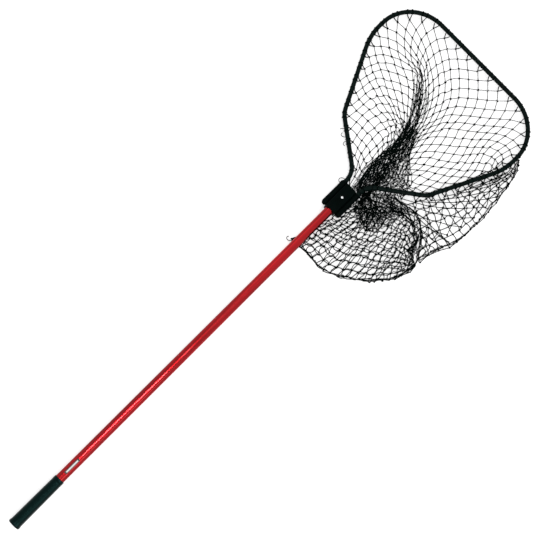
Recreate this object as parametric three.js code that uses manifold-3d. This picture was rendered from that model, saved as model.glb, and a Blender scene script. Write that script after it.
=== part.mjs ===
// A landing net lying flat: an octagonal handle that slides through a moulded yoke, a bent tube hoop
// held in the yoke's sockets, and a knotted bag that has fallen to one side under the hoop.
// Millimetres, +Z up, +Y from the handle to the hoop, origin under the middle of the yoke.
import * as THREE from "three";
import { mergeVertices } from "three/addons/utils/BufferGeometryUtils.js";
import Module from "manifold-3d";

const wasm = await Module();
wasm.setup();

// Handle: an aluminium octagon with a flat on top, plugged at both ends so that it floats.
const TUBE_FLATS = 25.4;
const TUBE_WALL = 1.5;
const TUBE_CORNER = 3;
const TUBE_LENGTH = 1200;
const PLUG_FLANGE = 2.5;
const PLUG_SHANK = 16;
const PLUG_WALL = 2;
const SEAT_GAP = 0.3;
const CUT_MARGIN = 1;

// Rubber grip, pushed over the rear end of the tube. Radii are worked out from its wall.
const GRIP_LENGTH = 152;
const GRIP_FRONT_WALL = 1.2;
const GRIP_REAR_WALL = 1.9;
const GRIP_END = 6;
const GRIP_BEAD = 0.9;
const GRIP_BEAD_LENGTH = 12;
const GRIP_LIP = 10;
const GRIP_RIBS = 22;
const GRIP_RIB_DEPTH = 0.5;
const GRIP_EDGE = 3;
const GRIP_SIDES = 18;

// Yoke: a block round the handle with a round socket on each side for the hoop's ends.
const YOKE_LENGTH = 86;
const YOKE_FLOOR = 5;
const YOKE_ROOF = 3.5;
const YOKE_SIDE = 4.5;
const YOKE_CORNER = 5;
const YOKE_EDGE = 1.5;
const SLIDE_FIT = 0.3;
const BORE_WEB = 4.5;
const SOCKET_FIT = 0.35;
const SOCKET_WALL = 2.5;
const SOCKET_DEPTH = 71;
const SOCKET_COLLAR = 0.8;
const SOCKET_COLLAR_LENGTH = 7;
const SOCKET_END_STEPS = 5;
const NOSE_SETBACK = 4;
const ROUND_SIDES = 24;
const FILLET_STEPS = 3;
const BEVEL_STEPS = 2;

// Lock button and the bent leaf spring under it, both inside the handle.
const BUTTON_Y = 3;
const BUTTON_RADIUS = 3.5;
const BUTTON_PROUD = 1.6;
const BUTTON_FIT = 0.35;
const BUTTON_FLANGE = 1.1;
const BUTTON_FLANGE_HEIGHT = 1.2;
const THUMB_DISH_RADIUS = 7.5;
const THUMB_DISH_DEPTH = 1;
const DOME_STEPS = 3;
const BUTTON_SIDES = 20;
const SPRING_WIDTH = 6;
const SPRING_THICKNESS = 0.8;
const SPRING_LENGTH = 44;
const SPRING_SEAT = 6;

// Hoop: one tube bent in a plane. Each corner is a vertex of its centre line with a bend radius.
const HOOP_DIAMETER = 12.7;
const HOOP_WALL = 1.2;
const HOOP_HALF_SIDES = 6;
const HOOP_END_GAP = 0.5;
const HOOP_REACH = 584;
const HOOP_HALF_WIDTH = 266.5;
const CORNER_RADIUS = 122;
const FLANK_DROP = 176;
const FLANK_RADIUS = 190;
const SHOULDER_X = 160;
const SHOULDER_Y = 185;
const SHOULDER_RADIUS = 70;
const NECK_RUN = 36;
const NECK_RADIUS = 58;
const BEND_STEP = 10;
const SHORTEST_RUN = 0.01;

// Blind rivets that hold the hoop's ends in the sockets, set from below.
const RIVET_INSET = 20;
const RIVET_RADIUS = 2;
const RIVET_FIT = 0.3;
const RIVET_HEAD_RADIUS = 4;
const RIVET_HEAD_HEIGHT = 1.6;
const RIVET_BULB_RADIUS = 2.8;
const RIVET_BULB_HEIGHT = 2.4;
const RIVET_PAD_DEPTH = 0.4;
const RIVET_SIDES = 16;

// Net bag: flat panels of square mesh, hung from the hoop by a zigzag of border twine.
const MESH_BAR = 34;
const TWINE = 3;
const NET_THICKNESS = 2.4;
const NET_BORDER = 4;
const NET_INSET = 24;
const NECK_GAP = 4;
const NET_CLEAR = 1.2;
const WEDGE_WIDTH = 12;
const SMALLEST_GAP = 0.12;
const BORDER_LOOPS = 29;
const BORDER_START = 227;
const POUCH_UNDER_HANDLE = 8;
const POUCH_RISE = 20;
const POUCH_SLOPE = 0.28;
// Loose edge of the bag: how far it lies past the hoop's side, and how far in front of the yoke.
const POUCH_EDGE = [
  [36, 375],
  [44.5, 265],
  [33, 150],
  [4.5, 15],
  [-23, -65],
  [-103, -137],
  [-193, -172],
];
const POUCH_STEPS = 30;
const SHARPEST_MITRE = 0.4;

// Worked out from the sizes above.
const AXIS_Z = TUBE_FLATS / 2 + SLIDE_FIT + YOKE_FLOOR;
const BORE_FLATS = TUBE_FLATS - 2 * TUBE_WALL;
const YOKE_TOP = TUBE_FLATS / 2 + SLIDE_FIT + YOKE_ROOF;
const YOKE_FRONT = YOKE_LENGTH / 2;
const BLOCK_HALF = TUBE_FLATS / 2 + SLIDE_FIT + YOKE_SIDE;
const HOOP_RADIUS = HOOP_DIAMETER / 2;
const SOCKET_X = TUBE_FLATS / 2 + SLIDE_FIT + BORE_WEB + SOCKET_FIT + HOOP_RADIUS;
const SOCKET_RADIUS = HOOP_RADIUS + SOCKET_FIT + SOCKET_WALL;
const TUBE_FRONT = YOKE_FRONT - NOSE_SETBACK - PLUG_FLANGE - SEAT_GAP;
const TUBE_REAR = TUBE_FRONT - TUBE_LENGTH;
const SOCKET_FLOOR = YOKE_FRONT - SOCKET_DEPTH;
const HOOP_END = SOCKET_FLOOR + HOOP_END_GAP;
const RIVET_Y = HOOP_END + RIVET_INSET;
const RIVET_PAD = SOCKET_RADIUS - RIVET_PAD_DEPTH;

const red = new THREE.MeshStandardMaterial({ color: 0xb01f24, metalness: 0.8, roughness: 0.3 });
const rubber = new THREE.MeshStandardMaterial({ color: 0x121a19, metalness: 0, roughness: 0.7 });
const plastic = new THREE.MeshStandardMaterial({ color: 0x0d100f, metalness: 0, roughness: 0.45 });
const blackTube = new THREE.MeshStandardMaterial({ color: 0x151a19, metalness: 0.4, roughness: 0.35 });
const steel = new THREE.MeshStandardMaterial({ color: 0xc9ccce, metalness: 1, roughness: 0.25 });
const twine = new THREE.MeshStandardMaterial({ color: 0x14201d, metalness: 0, roughness: 0.9 });

// Turns a closed geometry into a solid that can be cut and joined.
function solid(geometry) {
  const bare = geometry.clone();
  bare.deleteAttribute("normal");
  bare.deleteAttribute("uv");
  const merged = mergeVertices(bare, 1e-4);
  const vertProperties = new Float32Array(merged.attributes.position.array);
  const triVerts = new Uint32Array(merged.index.array);
  return new wasm.Manifold(new wasm.Mesh({ numProp: 3, vertProperties, triVerts }));
}

function geometryOf(manifold) {
  const { vertProperties, triVerts } = manifold.getMesh();
  const geometry = new THREE.BufferGeometry();
  geometry.setAttribute("position", new THREE.BufferAttribute(new Float32Array(vertProperties), 3));
  geometry.setIndex(new THREE.BufferAttribute(new Uint32Array(triVerts), 1));
  geometry.computeVertexNormals();
  return geometry;
}

function mesh(name, geometry, material) {
  const result = new THREE.Mesh(geometry, material);
  result.name = name;
  return result;
}

// An octagon with rounded corners and a flat on top.
function octagon(flats, corner) {
  const shape = new THREE.Shape();
  const toCentre = (flats / 2 - corner) / Math.cos(Math.PI / 8);
  for (let k = 0; k < 8; k += 1) {
    const angle = Math.PI / 8 + (k * Math.PI) / 4;
    const x = toCentre * Math.cos(angle);
    const y = toCentre * Math.sin(angle);
    shape.absarc(x, y, corner, angle - Math.PI / 8, angle + Math.PI / 8);
  }
  shape.closePath();
  return shape;
}

// Extrudes a section drawn in X and Z along Y, from the given rear end.
function alongY(shape, rear, length, options = {}) {
  const geometry = new THREE.ExtrudeGeometry(shape, {
    depth: length,
    bevelEnabled: false,
    curveSegments: 1,
    ...options,
  });
  geometry.rotateX(Math.PI / 2);
  geometry.translate(0, rear + length, 0);
  return geometry;
}

// A turned piece about Y, from [radius, y] pairs that start and end on the axis.
function turnedY(profile, sides) {
  return new THREE.LatheGeometry(profile.map(([r, y]) => new THREE.Vector2(r, y)), sides);
}

// A turned piece about Z, from [radius, z] pairs that start and end on the axis.
function turnedZ(profile, sides) {
  return turnedY(profile, sides).rotateX(Math.PI / 2);
}

// A domed end for a turned piece: [radius, height] pairs from its rim up to its crown on the axis.
function dome(radius, low, height) {
  return Array.from({ length: DOME_STEPS + 1 }, (_, k) => {
    const angle = (k / DOME_STEPS) * (Math.PI / 2);
    return [k === DOME_STEPS ? 0 : radius * Math.cos(angle), low + height * Math.sin(angle)];
  });
}

// A cutter about Z between two heights.
function drill(radius, low, high, x, y) {
  const geometry = new THREE.CylinderGeometry(radius, radius, high - low, ROUND_SIDES);
  geometry.rotateX(Math.PI / 2);
  geometry.translate(x, y, (low + high) / 2);
  return solid(geometry);
}

// Handle tube: a hollow octagon with one hole for the lock button.
function handleTube() {
  const section = octagon(TUBE_FLATS, TUBE_CORNER);
  section.holes.push(octagon(BORE_FLATS, TUBE_CORNER - TUBE_WALL));
  const tube = solid(alongY(section, TUBE_REAR, TUBE_LENGTH));
  const hole = drill(BUTTON_RADIUS + BUTTON_FIT, 0, TUBE_FLATS, 0, BUTTON_Y);
  return geometryOf(tube.subtract(hole));
}

// End plug: a flange that covers the tube's end and a hollow shank inside it, facing forward.
function endPlug() {
  const shankFlats = BORE_FLATS - 2 * SEAT_GAP;
  const shankCorner = TUBE_CORNER - TUBE_WALL;
  const flange = solid(alongY(octagon(TUBE_FLATS, TUBE_CORNER), SEAT_GAP, PLUG_FLANGE));
  const shank = solid(alongY(octagon(shankFlats, shankCorner), -PLUG_SHANK, PLUG_SHANK + PLUG_FLANGE));
  const hollowShape = octagon(shankFlats - 2 * PLUG_WALL, shankCorner / 2);
  const hollow = solid(alongY(hollowShape, -PLUG_SHANK - CUT_MARGIN, PLUG_SHANK + CUT_MARGIN));
  return geometryOf(flange.add(shank).subtract(hollow));
}

// Grip: a tapered, ribbed rubber sleeve with a closed end, a bead at the butt and a plain front lip.
function grip() {
  const tubeCornerRadius = (TUBE_FLATS / 2 - TUBE_CORNER) / Math.cos(Math.PI / 8) + TUBE_CORNER;
  const rearRadius = tubeCornerRadius + SEAT_GAP + GRIP_REAR_WALL;
  const frontRadius = tubeCornerRadius + SEAT_GAP + GRIP_FRONT_WALL;
  const beadRadius = rearRadius + GRIP_BEAD;
  const boreRear = TUBE_REAR - PLUG_FLANGE - 2 * SEAT_GAP;
  const rear = boreRear - GRIP_END;
  const front = rear + GRIP_LENGTH;
  const ribsStart = rear + GRIP_BEAD_LENGTH + GRIP_EDGE;
  const ribsEnd = front - GRIP_LIP;
  const profile = [
    [0, rear],
    [beadRadius - GRIP_EDGE, rear],
    [beadRadius - GRIP_EDGE * (1 - Math.SQRT1_2), rear + GRIP_EDGE * (1 - Math.SQRT1_2)],
    [beadRadius, rear + GRIP_EDGE],
    [beadRadius, rear + GRIP_BEAD_LENGTH - GRIP_EDGE],
    [rearRadius, rear + GRIP_BEAD_LENGTH],
  ];
  const steps = GRIP_RIBS * 2;
  for (let k = 0; k <= steps; k += 1) {
    const share = k / steps;
    const crest = THREE.MathUtils.lerp(rearRadius, frontRadius, share);
    const depth = k % 2 === 0 ? GRIP_RIB_DEPTH : 0;
    profile.push([crest - depth, THREE.MathUtils.lerp(ribsStart, ribsEnd, share)]);
  }
  profile.push([frontRadius, ribsEnd + GRIP_LIP / 4]);
  profile.push([frontRadius, front - GRIP_FRONT_WALL / 2]);
  profile.push([frontRadius - GRIP_FRONT_WALL / 2, front]);
  profile.push([0, front]);
  const sleeve = solid(turnedY(profile, GRIP_SIDES));
  const boreFlats = TUBE_FLATS + 2 * SEAT_GAP;
  const bore = solid(alongY(octagon(boreFlats, TUBE_CORNER), boreRear, GRIP_LENGTH));
  return geometryOf(sleeve.subtract(bore));
}

// Yoke: block and sockets joined, then bored, drilled and dished.
function yoke() {
  const block = new THREE.Shape();
  const right = BLOCK_HALF - YOKE_CORNER;
  const top = YOKE_TOP - YOKE_CORNER;
  const bottom = -AXIS_Z + YOKE_CORNER;
  block.absarc(right, top, YOKE_CORNER, 0, Math.PI / 2);
  block.absarc(-right, top, YOKE_CORNER, Math.PI / 2, Math.PI);
  block.absarc(-right, bottom, YOKE_CORNER, Math.PI, 1.5 * Math.PI);
  block.absarc(right, bottom, YOKE_CORNER, 1.5 * Math.PI, 2 * Math.PI);
  block.closePath();
  const softened = {
    bevelEnabled: true,
    bevelSize: YOKE_EDGE,
    bevelOffset: -YOKE_EDGE,
    bevelThickness: YOKE_EDGE,
    bevelSegments: BEVEL_STEPS,
    curveSegments: FILLET_STEPS,
  };
  let body = solid(alongY(block, -YOKE_FRONT + YOKE_EDGE, YOKE_LENGTH - 2 * YOKE_EDGE, softened));
  for (const side of [-1, 1]) {
    body = body.add(solid(socket().translate(side * SOCKET_X, 0, 0)));
  }
  const handleBore = octagon(TUBE_FLATS + 2 * SLIDE_FIT, TUBE_CORNER);
  body = body.subtract(solid(alongY(handleBore, -YOKE_LENGTH, 2 * YOKE_LENGTH)));
  const boreRadius = HOOP_RADIUS + SOCKET_FIT;
  for (const side of [-1, 1]) {
    const bore = new THREE.CylinderGeometry(boreRadius, boreRadius, SOCKET_DEPTH * 2, ROUND_SIDES);
    bore.translate(side * SOCKET_X, SOCKET_FLOOR + SOCKET_DEPTH, 0);
    body = body.subtract(solid(bore));
    body = body.subtract(drill(RIVET_RADIUS + RIVET_FIT, -AXIS_Z, 0, side * SOCKET_X, RIVET_Y));
    const padRadius = RIVET_HEAD_RADIUS + RIVET_FIT;
    body = body.subtract(drill(padRadius, -AXIS_Z, -RIVET_PAD, side * SOCKET_X, RIVET_Y));
  }
  body = body.subtract(drill(BUTTON_RADIUS + BUTTON_FIT, 0, YOKE_TOP * 2, 0, BUTTON_Y));
  const dish = new THREE.CylinderGeometry(
    THUMB_DISH_RADIUS, BUTTON_RADIUS + 2 * BUTTON_FIT, 2 * THUMB_DISH_DEPTH, ROUND_SIDES,
  );
  dish.rotateX(Math.PI / 2);
  dish.translate(0, BUTTON_Y, YOKE_TOP);
  return geometryOf(body.subtract(solid(dish)));
}

// One socket on its own axis: a round rear end, a straight barrel and a thicker mouth.
function socket() {
  const rear = -YOKE_FRONT;
  const profile = [];
  for (let k = 0; k <= SOCKET_END_STEPS; k += 1) {
    const angle = (k / SOCKET_END_STEPS) * (Math.PI / 2);
    profile.push([
      SOCKET_RADIUS * Math.sin(angle),
      rear + SOCKET_RADIUS * (1 - Math.cos(angle)),
    ]);
  }
  const collar = SOCKET_RADIUS + SOCKET_COLLAR;
  profile.push([SOCKET_RADIUS, YOKE_FRONT - SOCKET_COLLAR_LENGTH - SOCKET_COLLAR]);
  profile.push([collar, YOKE_FRONT - SOCKET_COLLAR_LENGTH]);
  profile.push([collar, YOKE_FRONT - SOCKET_COLLAR]);
  profile.push([SOCKET_RADIUS, YOKE_FRONT]);
  profile.push([0, YOKE_FRONT]);
  return turnedY(profile, ROUND_SIDES);
}

// Lock button: a domed stud with a flange that the tube's wall keeps in.
function lockButton() {
  const flangeTop = BORE_FLATS / 2 - SEAT_GAP;
  const low = flangeTop - BUTTON_FLANGE_HEIGHT;
  const profile = [
    [0, low],
    [BUTTON_RADIUS + BUTTON_FLANGE, low],
    [BUTTON_RADIUS + BUTTON_FLANGE, flangeTop],
    [BUTTON_RADIUS, flangeTop],
    ...dome(BUTTON_RADIUS, YOKE_TOP, BUTTON_PROUD),
  ];
  return turnedZ(profile, BUTTON_SIDES).translate(0, BUTTON_Y, 0);
}

// Thickens a line of points in a plane into a strip, mitred at each bend.
function strip(points, thickness) {
  const left = [];
  const right = [];
  points.forEach((point, k) => {
    const before = points[Math.max(k - 1, 0)];
    const after = points[Math.min(k + 1, points.length - 1)];
    const into = point.clone().sub(before).normalize();
    const out = after.clone().sub(point).normalize();
    const first = k === 0 ? out : into;
    const last = k === points.length - 1 ? into : out;
    const along = first.clone().add(last).normalize();
    const normal = new THREE.Vector2(-along.y, along.x);
    const reach = thickness / 2 / Math.max(along.dot(first), SHARPEST_MITRE);
    left.push(point.clone().addScaledVector(normal, reach));
    right.unshift(point.clone().addScaledVector(normal, -reach));
  });
  return new THREE.Shape([...left, ...right]);
}

// Leaf spring: a bent strip between the button's flange and the floor of the handle's bore.
function buttonSpring() {
  const seat = BORE_FLATS / 2 - 2 * SEAT_GAP - BUTTON_FLANGE_HEIGHT - SPRING_THICKNESS / 2;
  const foot = -BORE_FLATS / 2 + SEAT_GAP + SPRING_THICKNESS / 2;
  const bendDepth = SPRING_SEAT / 2;
  const line = [
    new THREE.Vector2(SPRING_SEAT, seat),
    new THREE.Vector2(-SPRING_SEAT, seat),
    new THREE.Vector2(-SPRING_LENGTH + bendDepth, bendDepth),
    new THREE.Vector2(-SPRING_LENGTH, 0),
    new THREE.Vector2(-SPRING_LENGTH + bendDepth, -bendDepth),
    new THREE.Vector2(-SPRING_SEAT, foot),
    new THREE.Vector2(SPRING_SEAT, foot),
  ];
  const leaf = new THREE.ExtrudeGeometry(strip(line, SPRING_THICKNESS), {
    depth: SPRING_WIDTH,
    bevelEnabled: false,
  });
  leaf.translate(0, 0, -SPRING_WIDTH / 2);
  leaf.applyMatrix4(new THREE.Matrix4().set(0, 0, 1, 0, 1, 0, 0, BUTTON_Y, 0, 1, 0, 0, 0, 0, 0, 1));
  return leaf;
}

// Joins a line of vertices into straight runs and round bends, in order. Two bends that would meet on the
// run between them share its length, and then no straight run is left there.
function roundedRuns(vertices, radii) {
  const corners = radii.map((radius, k) => {
    const [before, corner, after] = vertices.slice(k, k + 3);
    const into = corner.clone().sub(before).normalize();
    const out = after.clone().sub(corner).normalize();
    const turn = Math.atan2(into.cross(out), into.dot(out));
    return { corner, into, out, turn, tangent: radius * Math.tan(Math.abs(turn) / 2) };
  });
  const wanted = [0, ...corners.map(({ tangent }) => tangent), 0];
  corners.forEach((bend, k) => {
    const shares = [k, k + 1].map((end) => {
      const run = vertices[end].distanceTo(vertices[end + 1]);
      return run / (wanted[end] + wanted[end + 1]);
    });
    bend.tangent *= Math.min(1, ...shares);
  });
  const runs = [];
  let start = vertices[0];
  for (const { corner, into, out, turn, tangent } of corners) {
    const radius = tangent / Math.tan(Math.abs(turn) / 2);
    const from = corner.clone().addScaledVector(into, -tangent);
    const side = Math.sign(turn);
    const centre = from.clone().addScaledVector(new THREE.Vector2(-into.y, into.x), side * radius);
    const angle = Math.atan2(from.y - centre.y, from.x - centre.x);
    if (start.distanceTo(from) > SHORTEST_RUN) {
      runs.push(new THREE.LineCurve(start, from));
    }
    runs.push(new THREE.EllipseCurve(centre.x, centre.y, radius, radius, angle, angle + turn, side < 0));
    start = corner.clone().addScaledVector(out, tangent);
  }
  runs.push(new THREE.LineCurve(start, vertices[vertices.length - 1]));
  return runs;
}

// Centre line of the hoop from the left socket round to the right one.
const rightSide = [
  [SOCKET_X, HOOP_END],
  [SOCKET_X, YOKE_FRONT + NECK_RUN],
  [SHOULDER_X, SHOULDER_Y],
  [HOOP_HALF_WIDTH, HOOP_REACH - FLANK_DROP],
  [HOOP_HALF_WIDTH, HOOP_REACH],
].map(([x, y]) => new THREE.Vector2(x, y));
const leftSide = rightSide.map((p) => new THREE.Vector2(-p.x, p.y));
const bends = [NECK_RADIUS, SHOULDER_RADIUS, FLANK_RADIUS, CORNER_RADIUS];
const hoopRuns = roundedRuns([...leftSide, ...rightSide.reverse()], [...bends, ...[...bends].reverse()]);
const hoopPath = new THREE.CurvePath();
hoopRuns.forEach((run) => hoopPath.add(run));

// Steps along the hoop: one for each straight run, and one for each few degrees of a bend.
class SteppedHoop extends THREE.Curve {
  constructor() {
    super();
    this.stops = [];
    hoopRuns.forEach((run, k) => {
      const turned = run.isEllipseCurve ? Math.abs(run.aEndAngle - run.aStartAngle) : 0;
      const count = Math.max(1, Math.ceil(turned / THREE.MathUtils.degToRad(BEND_STEP)));
      const first = k === 0 ? 0 : 1;
      for (let step = first; step <= count; step += 1) {
        this.stops.push({ point: run.getPoint(step / count), tangent: run.getTangent(step / count) });
      }
    });
  }

  stopAt(t) {
    return this.stops[Math.round(t * (this.stops.length - 1))];
  }

  getPointAt(t) {
    const { point } = this.stopAt(t);
    return new THREE.Vector3(point.x, point.y, 0);
  }

  getTangentAt(t) {
    const { tangent } = this.stopAt(t);
    return new THREE.Vector3(tangent.x, tangent.y, 0).normalize();
  }
}

const steppedHoop = new SteppedHoop();

// Hoop tube, drilled from below for the rivets.
function hoopTube() {
  const section = new THREE.Shape();
  section.absarc(0, 0, HOOP_RADIUS, 0, 2 * Math.PI);
  const bore = new THREE.Path();
  bore.absarc(0, 0, HOOP_RADIUS - HOOP_WALL, 0, 2 * Math.PI);
  section.holes.push(bore);
  let tube = solid(new THREE.ExtrudeGeometry(section, {
    extrudePath: steppedHoop,
    steps: steppedHoop.stops.length - 1,
    curveSegments: HOOP_HALF_SIDES,
  }));
  for (const side of [-1, 1]) {
    tube = tube.subtract(drill(RIVET_RADIUS + RIVET_FIT, -HOOP_DIAMETER, 0, side * SOCKET_X, RIVET_Y));
  }
  return geometryOf(tube);
}

// Blind rivet on its own axis: head below the socket, shank through both walls, bulb inside the tube.
function hoopRivet() {
  const seat = -RIVET_PAD - RIVET_FIT;
  const bulb = -(HOOP_RADIUS - HOOP_WALL) + RIVET_FIT;
  const flare = RIVET_BULB_RADIUS - RIVET_RADIUS;
  const profile = [
    ...dome(RIVET_HEAD_RADIUS, seat, -RIVET_HEAD_HEIGHT).reverse(),
    [RIVET_RADIUS, seat],
    [RIVET_RADIUS, bulb],
    ...dome(RIVET_BULB_RADIUS, bulb + flare, RIVET_BULB_HEIGHT - flare),
  ];
  return turnedZ(profile, RIVET_SIDES);
}

// Points beside the hoop's centre line, a distance in towards its mouth.
function besideHoop(distance, stops) {
  return stops.map(({ point, tangent }) => {
    const inward = new THREE.Vector2(tangent.y, -tangent.x).normalize();
    return point.clone().addScaledVector(inward, distance);
  });
}

// Moves each side of a closed outline inwards.
function insetOutline(points, distance) {
  const turned = THREE.ShapeUtils.area(points) > 0 ? 1 : -1;
  return points.map((point, k) => {
    const before = points[(k + points.length - 1) % points.length];
    const after = points[(k + 1) % points.length];
    const into = point.clone().sub(before).normalize();
    const out = after.clone().sub(point).normalize();
    const along = into.clone().add(out).normalize();
    const normal = new THREE.Vector2(-along.y, along.x).multiplyScalar(turned);
    return point.clone().addScaledVector(normal, distance / Math.max(along.dot(into), SHARPEST_MITRE));
  });
}

function plate(points, low, high) {
  const geometry = new THREE.ExtrudeGeometry(new THREE.Shape(points), {
    depth: high - low,
    bevelEnabled: false,
  });
  return solid(geometry.translate(0, 0, low));
}

// Square meshes standing on a corner, as separate prisms that cover an outline.
function meshPrisms(points, low, high) {
  const half = MESH_BAR * Math.SQRT1_2;
  const open = half - TWINE * Math.SQRT1_2;
  const box = new THREE.Box2().setFromPoints(points);
  const positions = [];
  const index = [];
  const columns = Math.ceil(box.max.x / half);
  const rows = Math.ceil(box.max.y / half);
  for (let i = Math.floor(box.min.x / half); i <= columns; i += 1) {
    for (let j = Math.floor(box.min.y / half); j <= rows; j += 1) {
      if ((i + j) % 2 === 0) {
        addDiamond(positions, index, i * half, j * half, open, low, high);
      }
    }
  }
  const geometry = new THREE.BufferGeometry();
  geometry.setAttribute("position", new THREE.Float32BufferAttribute(positions, 3));
  geometry.setIndex(index);
  return solid(geometry);
}

function addDiamond(positions, index, x, y, open, low, high) {
  const base = positions.length / 3;
  for (const z of [low, high]) {
    positions.push(x + open, y, z, x, y + open, z, x - open, y, z, x, y - open, z);
  }
  index.push(base, base + 2, base + 1, base, base + 3, base + 2);
  index.push(base + 4, base + 5, base + 6, base + 4, base + 6, base + 7);
  for (let k = 0; k < 4; k += 1) {
    const next = (k + 1) % 4;
    index.push(base + k, base + next, base + 4 + next, base + k, base + 4 + next, base + 4 + k);
  }
}

// A flat panel of net inside an outline, with a border twine and no slivers for gaps.
function netPanel(outline, low) {
  const under = low - CUT_MARGIN;
  const over = low + NET_THICKNESS + CUT_MARGIN;
  const inner = plate(insetOutline(outline, NET_BORDER), under, over);
  const gaps = meshPrisms(outline, under, over).intersect(inner);
  const fullGap = (MESH_BAR - TWINE) ** 2 * (over - under);
  let panel = plate(outline, low, low + NET_THICKNESS);
  const kept = gaps.decompose().filter((gap) => gap.volume() > SMALLEST_GAP * fullGap);
  kept.forEach((gap) => {
    panel = panel.subtract(gap);
  });
  return geometryOf(panel);
}

// Outline of the panel that lies across the hoop's mouth.
function mouthOutline() {
  return besideHoop(NET_INSET, steppedHoop.stops).filter((point, k) => {
    const side = Math.sign(steppedHoop.stops[k].point.x);
    return point.x * side > NECK_GAP;
  });
}

// Stops on the hoop's right side, from the far corner down to the neck.
const cornerStart = HOOP_REACH - CORNER_RADIUS;
const rightStops = steppedHoop.stops.filter(({ point }) => point.x > 0 && point.y <= cornerStart + 1);

// Loose edge of the bag from the hoop's far corner down to its lowest point.
function pouchEdge(endX) {
  const points = [
    new THREE.Vector2(HOOP_HALF_WIDTH, cornerStart),
    ...POUCH_EDGE.map(([past, y]) => new THREE.Vector2(HOOP_HALF_WIDTH + past, y)),
  ];
  const lowest = points[points.length - 1];
  points.push(new THREE.Vector2(endX, lowest.y));
  return new THREE.SplineCurve(points).getPoints(POUCH_STEPS);
}

// Outline of the lower wall of the bag, from the mouth panel's edge out to the loose edge.
function pouchFloorOutline() {
  const inner = besideHoop(NET_INSET - SEAT_GAP, rightStops).filter((point) => point.x > NECK_GAP);
  const besideYoke = BLOCK_HALF + 2 * SEAT_GAP;
  const behindYoke = -YOKE_FRONT - 2 * SEAT_GAP;
  const edge = pouchEdge(-POUCH_UNDER_HANDLE).reverse();
  return [
    ...inner,
    new THREE.Vector2(besideYoke, YOKE_FRONT + NECK_GAP),
    new THREE.Vector2(besideYoke, behindYoke),
    new THREE.Vector2(-POUCH_UNDER_HANDLE, behindYoke),
    ...edge.slice(0, -1),
  ];
}

// Outline of the upper wall of the bag, from under the hoop's tube out to the loose edge. It starts where
// the bag stands out past the hoop by the width of a few twines.
function pouchRoofOutline() {
  const sideLine = besideHoop(0, rightStops.filter(({ point }) => point.y > YOKE_FRONT + NECK_GAP));
  const besideSocket = SOCKET_X + SOCKET_RADIUS + SOCKET_COLLAR + NET_CLEAR;
  const besideTube = TUBE_FLATS / 2 + NECK_GAP;
  const behindYoke = -YOKE_FRONT - NECK_GAP;
  const edge = pouchEdge(besideTube).filter((p) => distanceTo(sideLine, p.x, p.y) > WEDGE_WIDTH);
  const hoopLine = sideLine.filter((point) => point.y <= edge[0].y);
  return {
    hoopLine,
    outline: [
      ...hoopLine,
      new THREE.Vector2(besideSocket, YOKE_FRONT + NECK_GAP),
      new THREE.Vector2(besideSocket, behindYoke),
      new THREE.Vector2(besideTube, behindYoke),
      ...edge.reverse(),
    ],
  };
}

function distanceTo(points, x, y) {
  const target = new THREE.Vector3(x, y, 0);
  const nearest = new THREE.Vector3();
  let least = Infinity;
  for (let k = 1; k < points.length; k += 1) {
    const edge = new THREE.Line3(
      new THREE.Vector3(points[k - 1].x, points[k - 1].y, 0),
      new THREE.Vector3(points[k].x, points[k].y, 0),
    );
    edge.closestPointToPoint(target, true, nearest);
    least = Math.min(least, nearest.distanceTo(target));
  }
  return least;
}

// Upper wall of the bag: hangs under the hoop on one side, lies on the lower wall along its loose edge,
// and stands up between them.
function pouchRoof() {
  const { hoopLine, outline } = pouchRoofOutline();
  const looseLine = [...outline.slice(hoopLine.length), outline[0]];
  const underHoop = AXIS_Z - HOOP_RADIUS - SEAT_GAP - NET_THICKNESS;
  const onFloor = NET_THICKNESS + SEAT_GAP;
  const geometry = netPanel(outline, 0);
  const position = geometry.attributes.position;
  for (let k = 0; k < position.count; k += 1) {
    const x = position.getX(k);
    const y = position.getY(k);
    const fromHoop = distanceTo(hoopLine, x, y);
    const fromEdge = distanceTo(looseLine, x, y);
    const share = fromHoop / Math.max(fromHoop + fromEdge, 1e-6);
    const rise = POUCH_RISE * 4 * share * (1 - share) * Math.min(fromEdge / MESH_BAR, 1);
    const free = THREE.MathUtils.lerp(underHoop, onFloor, share) + rise;
    const lift = Math.min(free, underHoop + POUCH_SLOPE * fromHoop);
    position.setZ(k, position.getZ(k) + lift);
  }
  geometry.computeVertexNormals();
  return geometry;
}

// Border twine: a zigzag from the hoop's underside in to the edge of the mouth panel and back.
function borderTwine() {
  const low = NET_THICKNESS + SEAT_GAP + NET_THICKNESS / 2;
  const high = AXIS_Z - HOOP_RADIUS - SEAT_GAP - NET_THICKNESS / 2;
  const wholeLength = hoopPath.getLength();
  const lengths = hoopPath.getCurveLengths();
  const last = lengths[lengths.length / 2 + 0.5] / wholeLength;
  const points = [];
  for (let k = 0; k <= 2 * BORDER_LOOPS; k += 1) {
    const t = THREE.MathUtils.lerp(BORDER_START / wholeLength, last, k / (2 * BORDER_LOOPS));
    const onHoop = { point: hoopPath.getPoint(t), tangent: hoopPath.getTangent(t) };
    const inward = k % 2 === 0 ? 0 : NET_INSET + NET_BORDER / 2;
    const [place] = besideHoop(inward, [onHoop]);
    points.push(new THREE.Vector3(place.x, place.y, k % 2 === 0 ? high : low));
  }
  return twineAlong(points, NET_THICKNESS);
}

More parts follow.
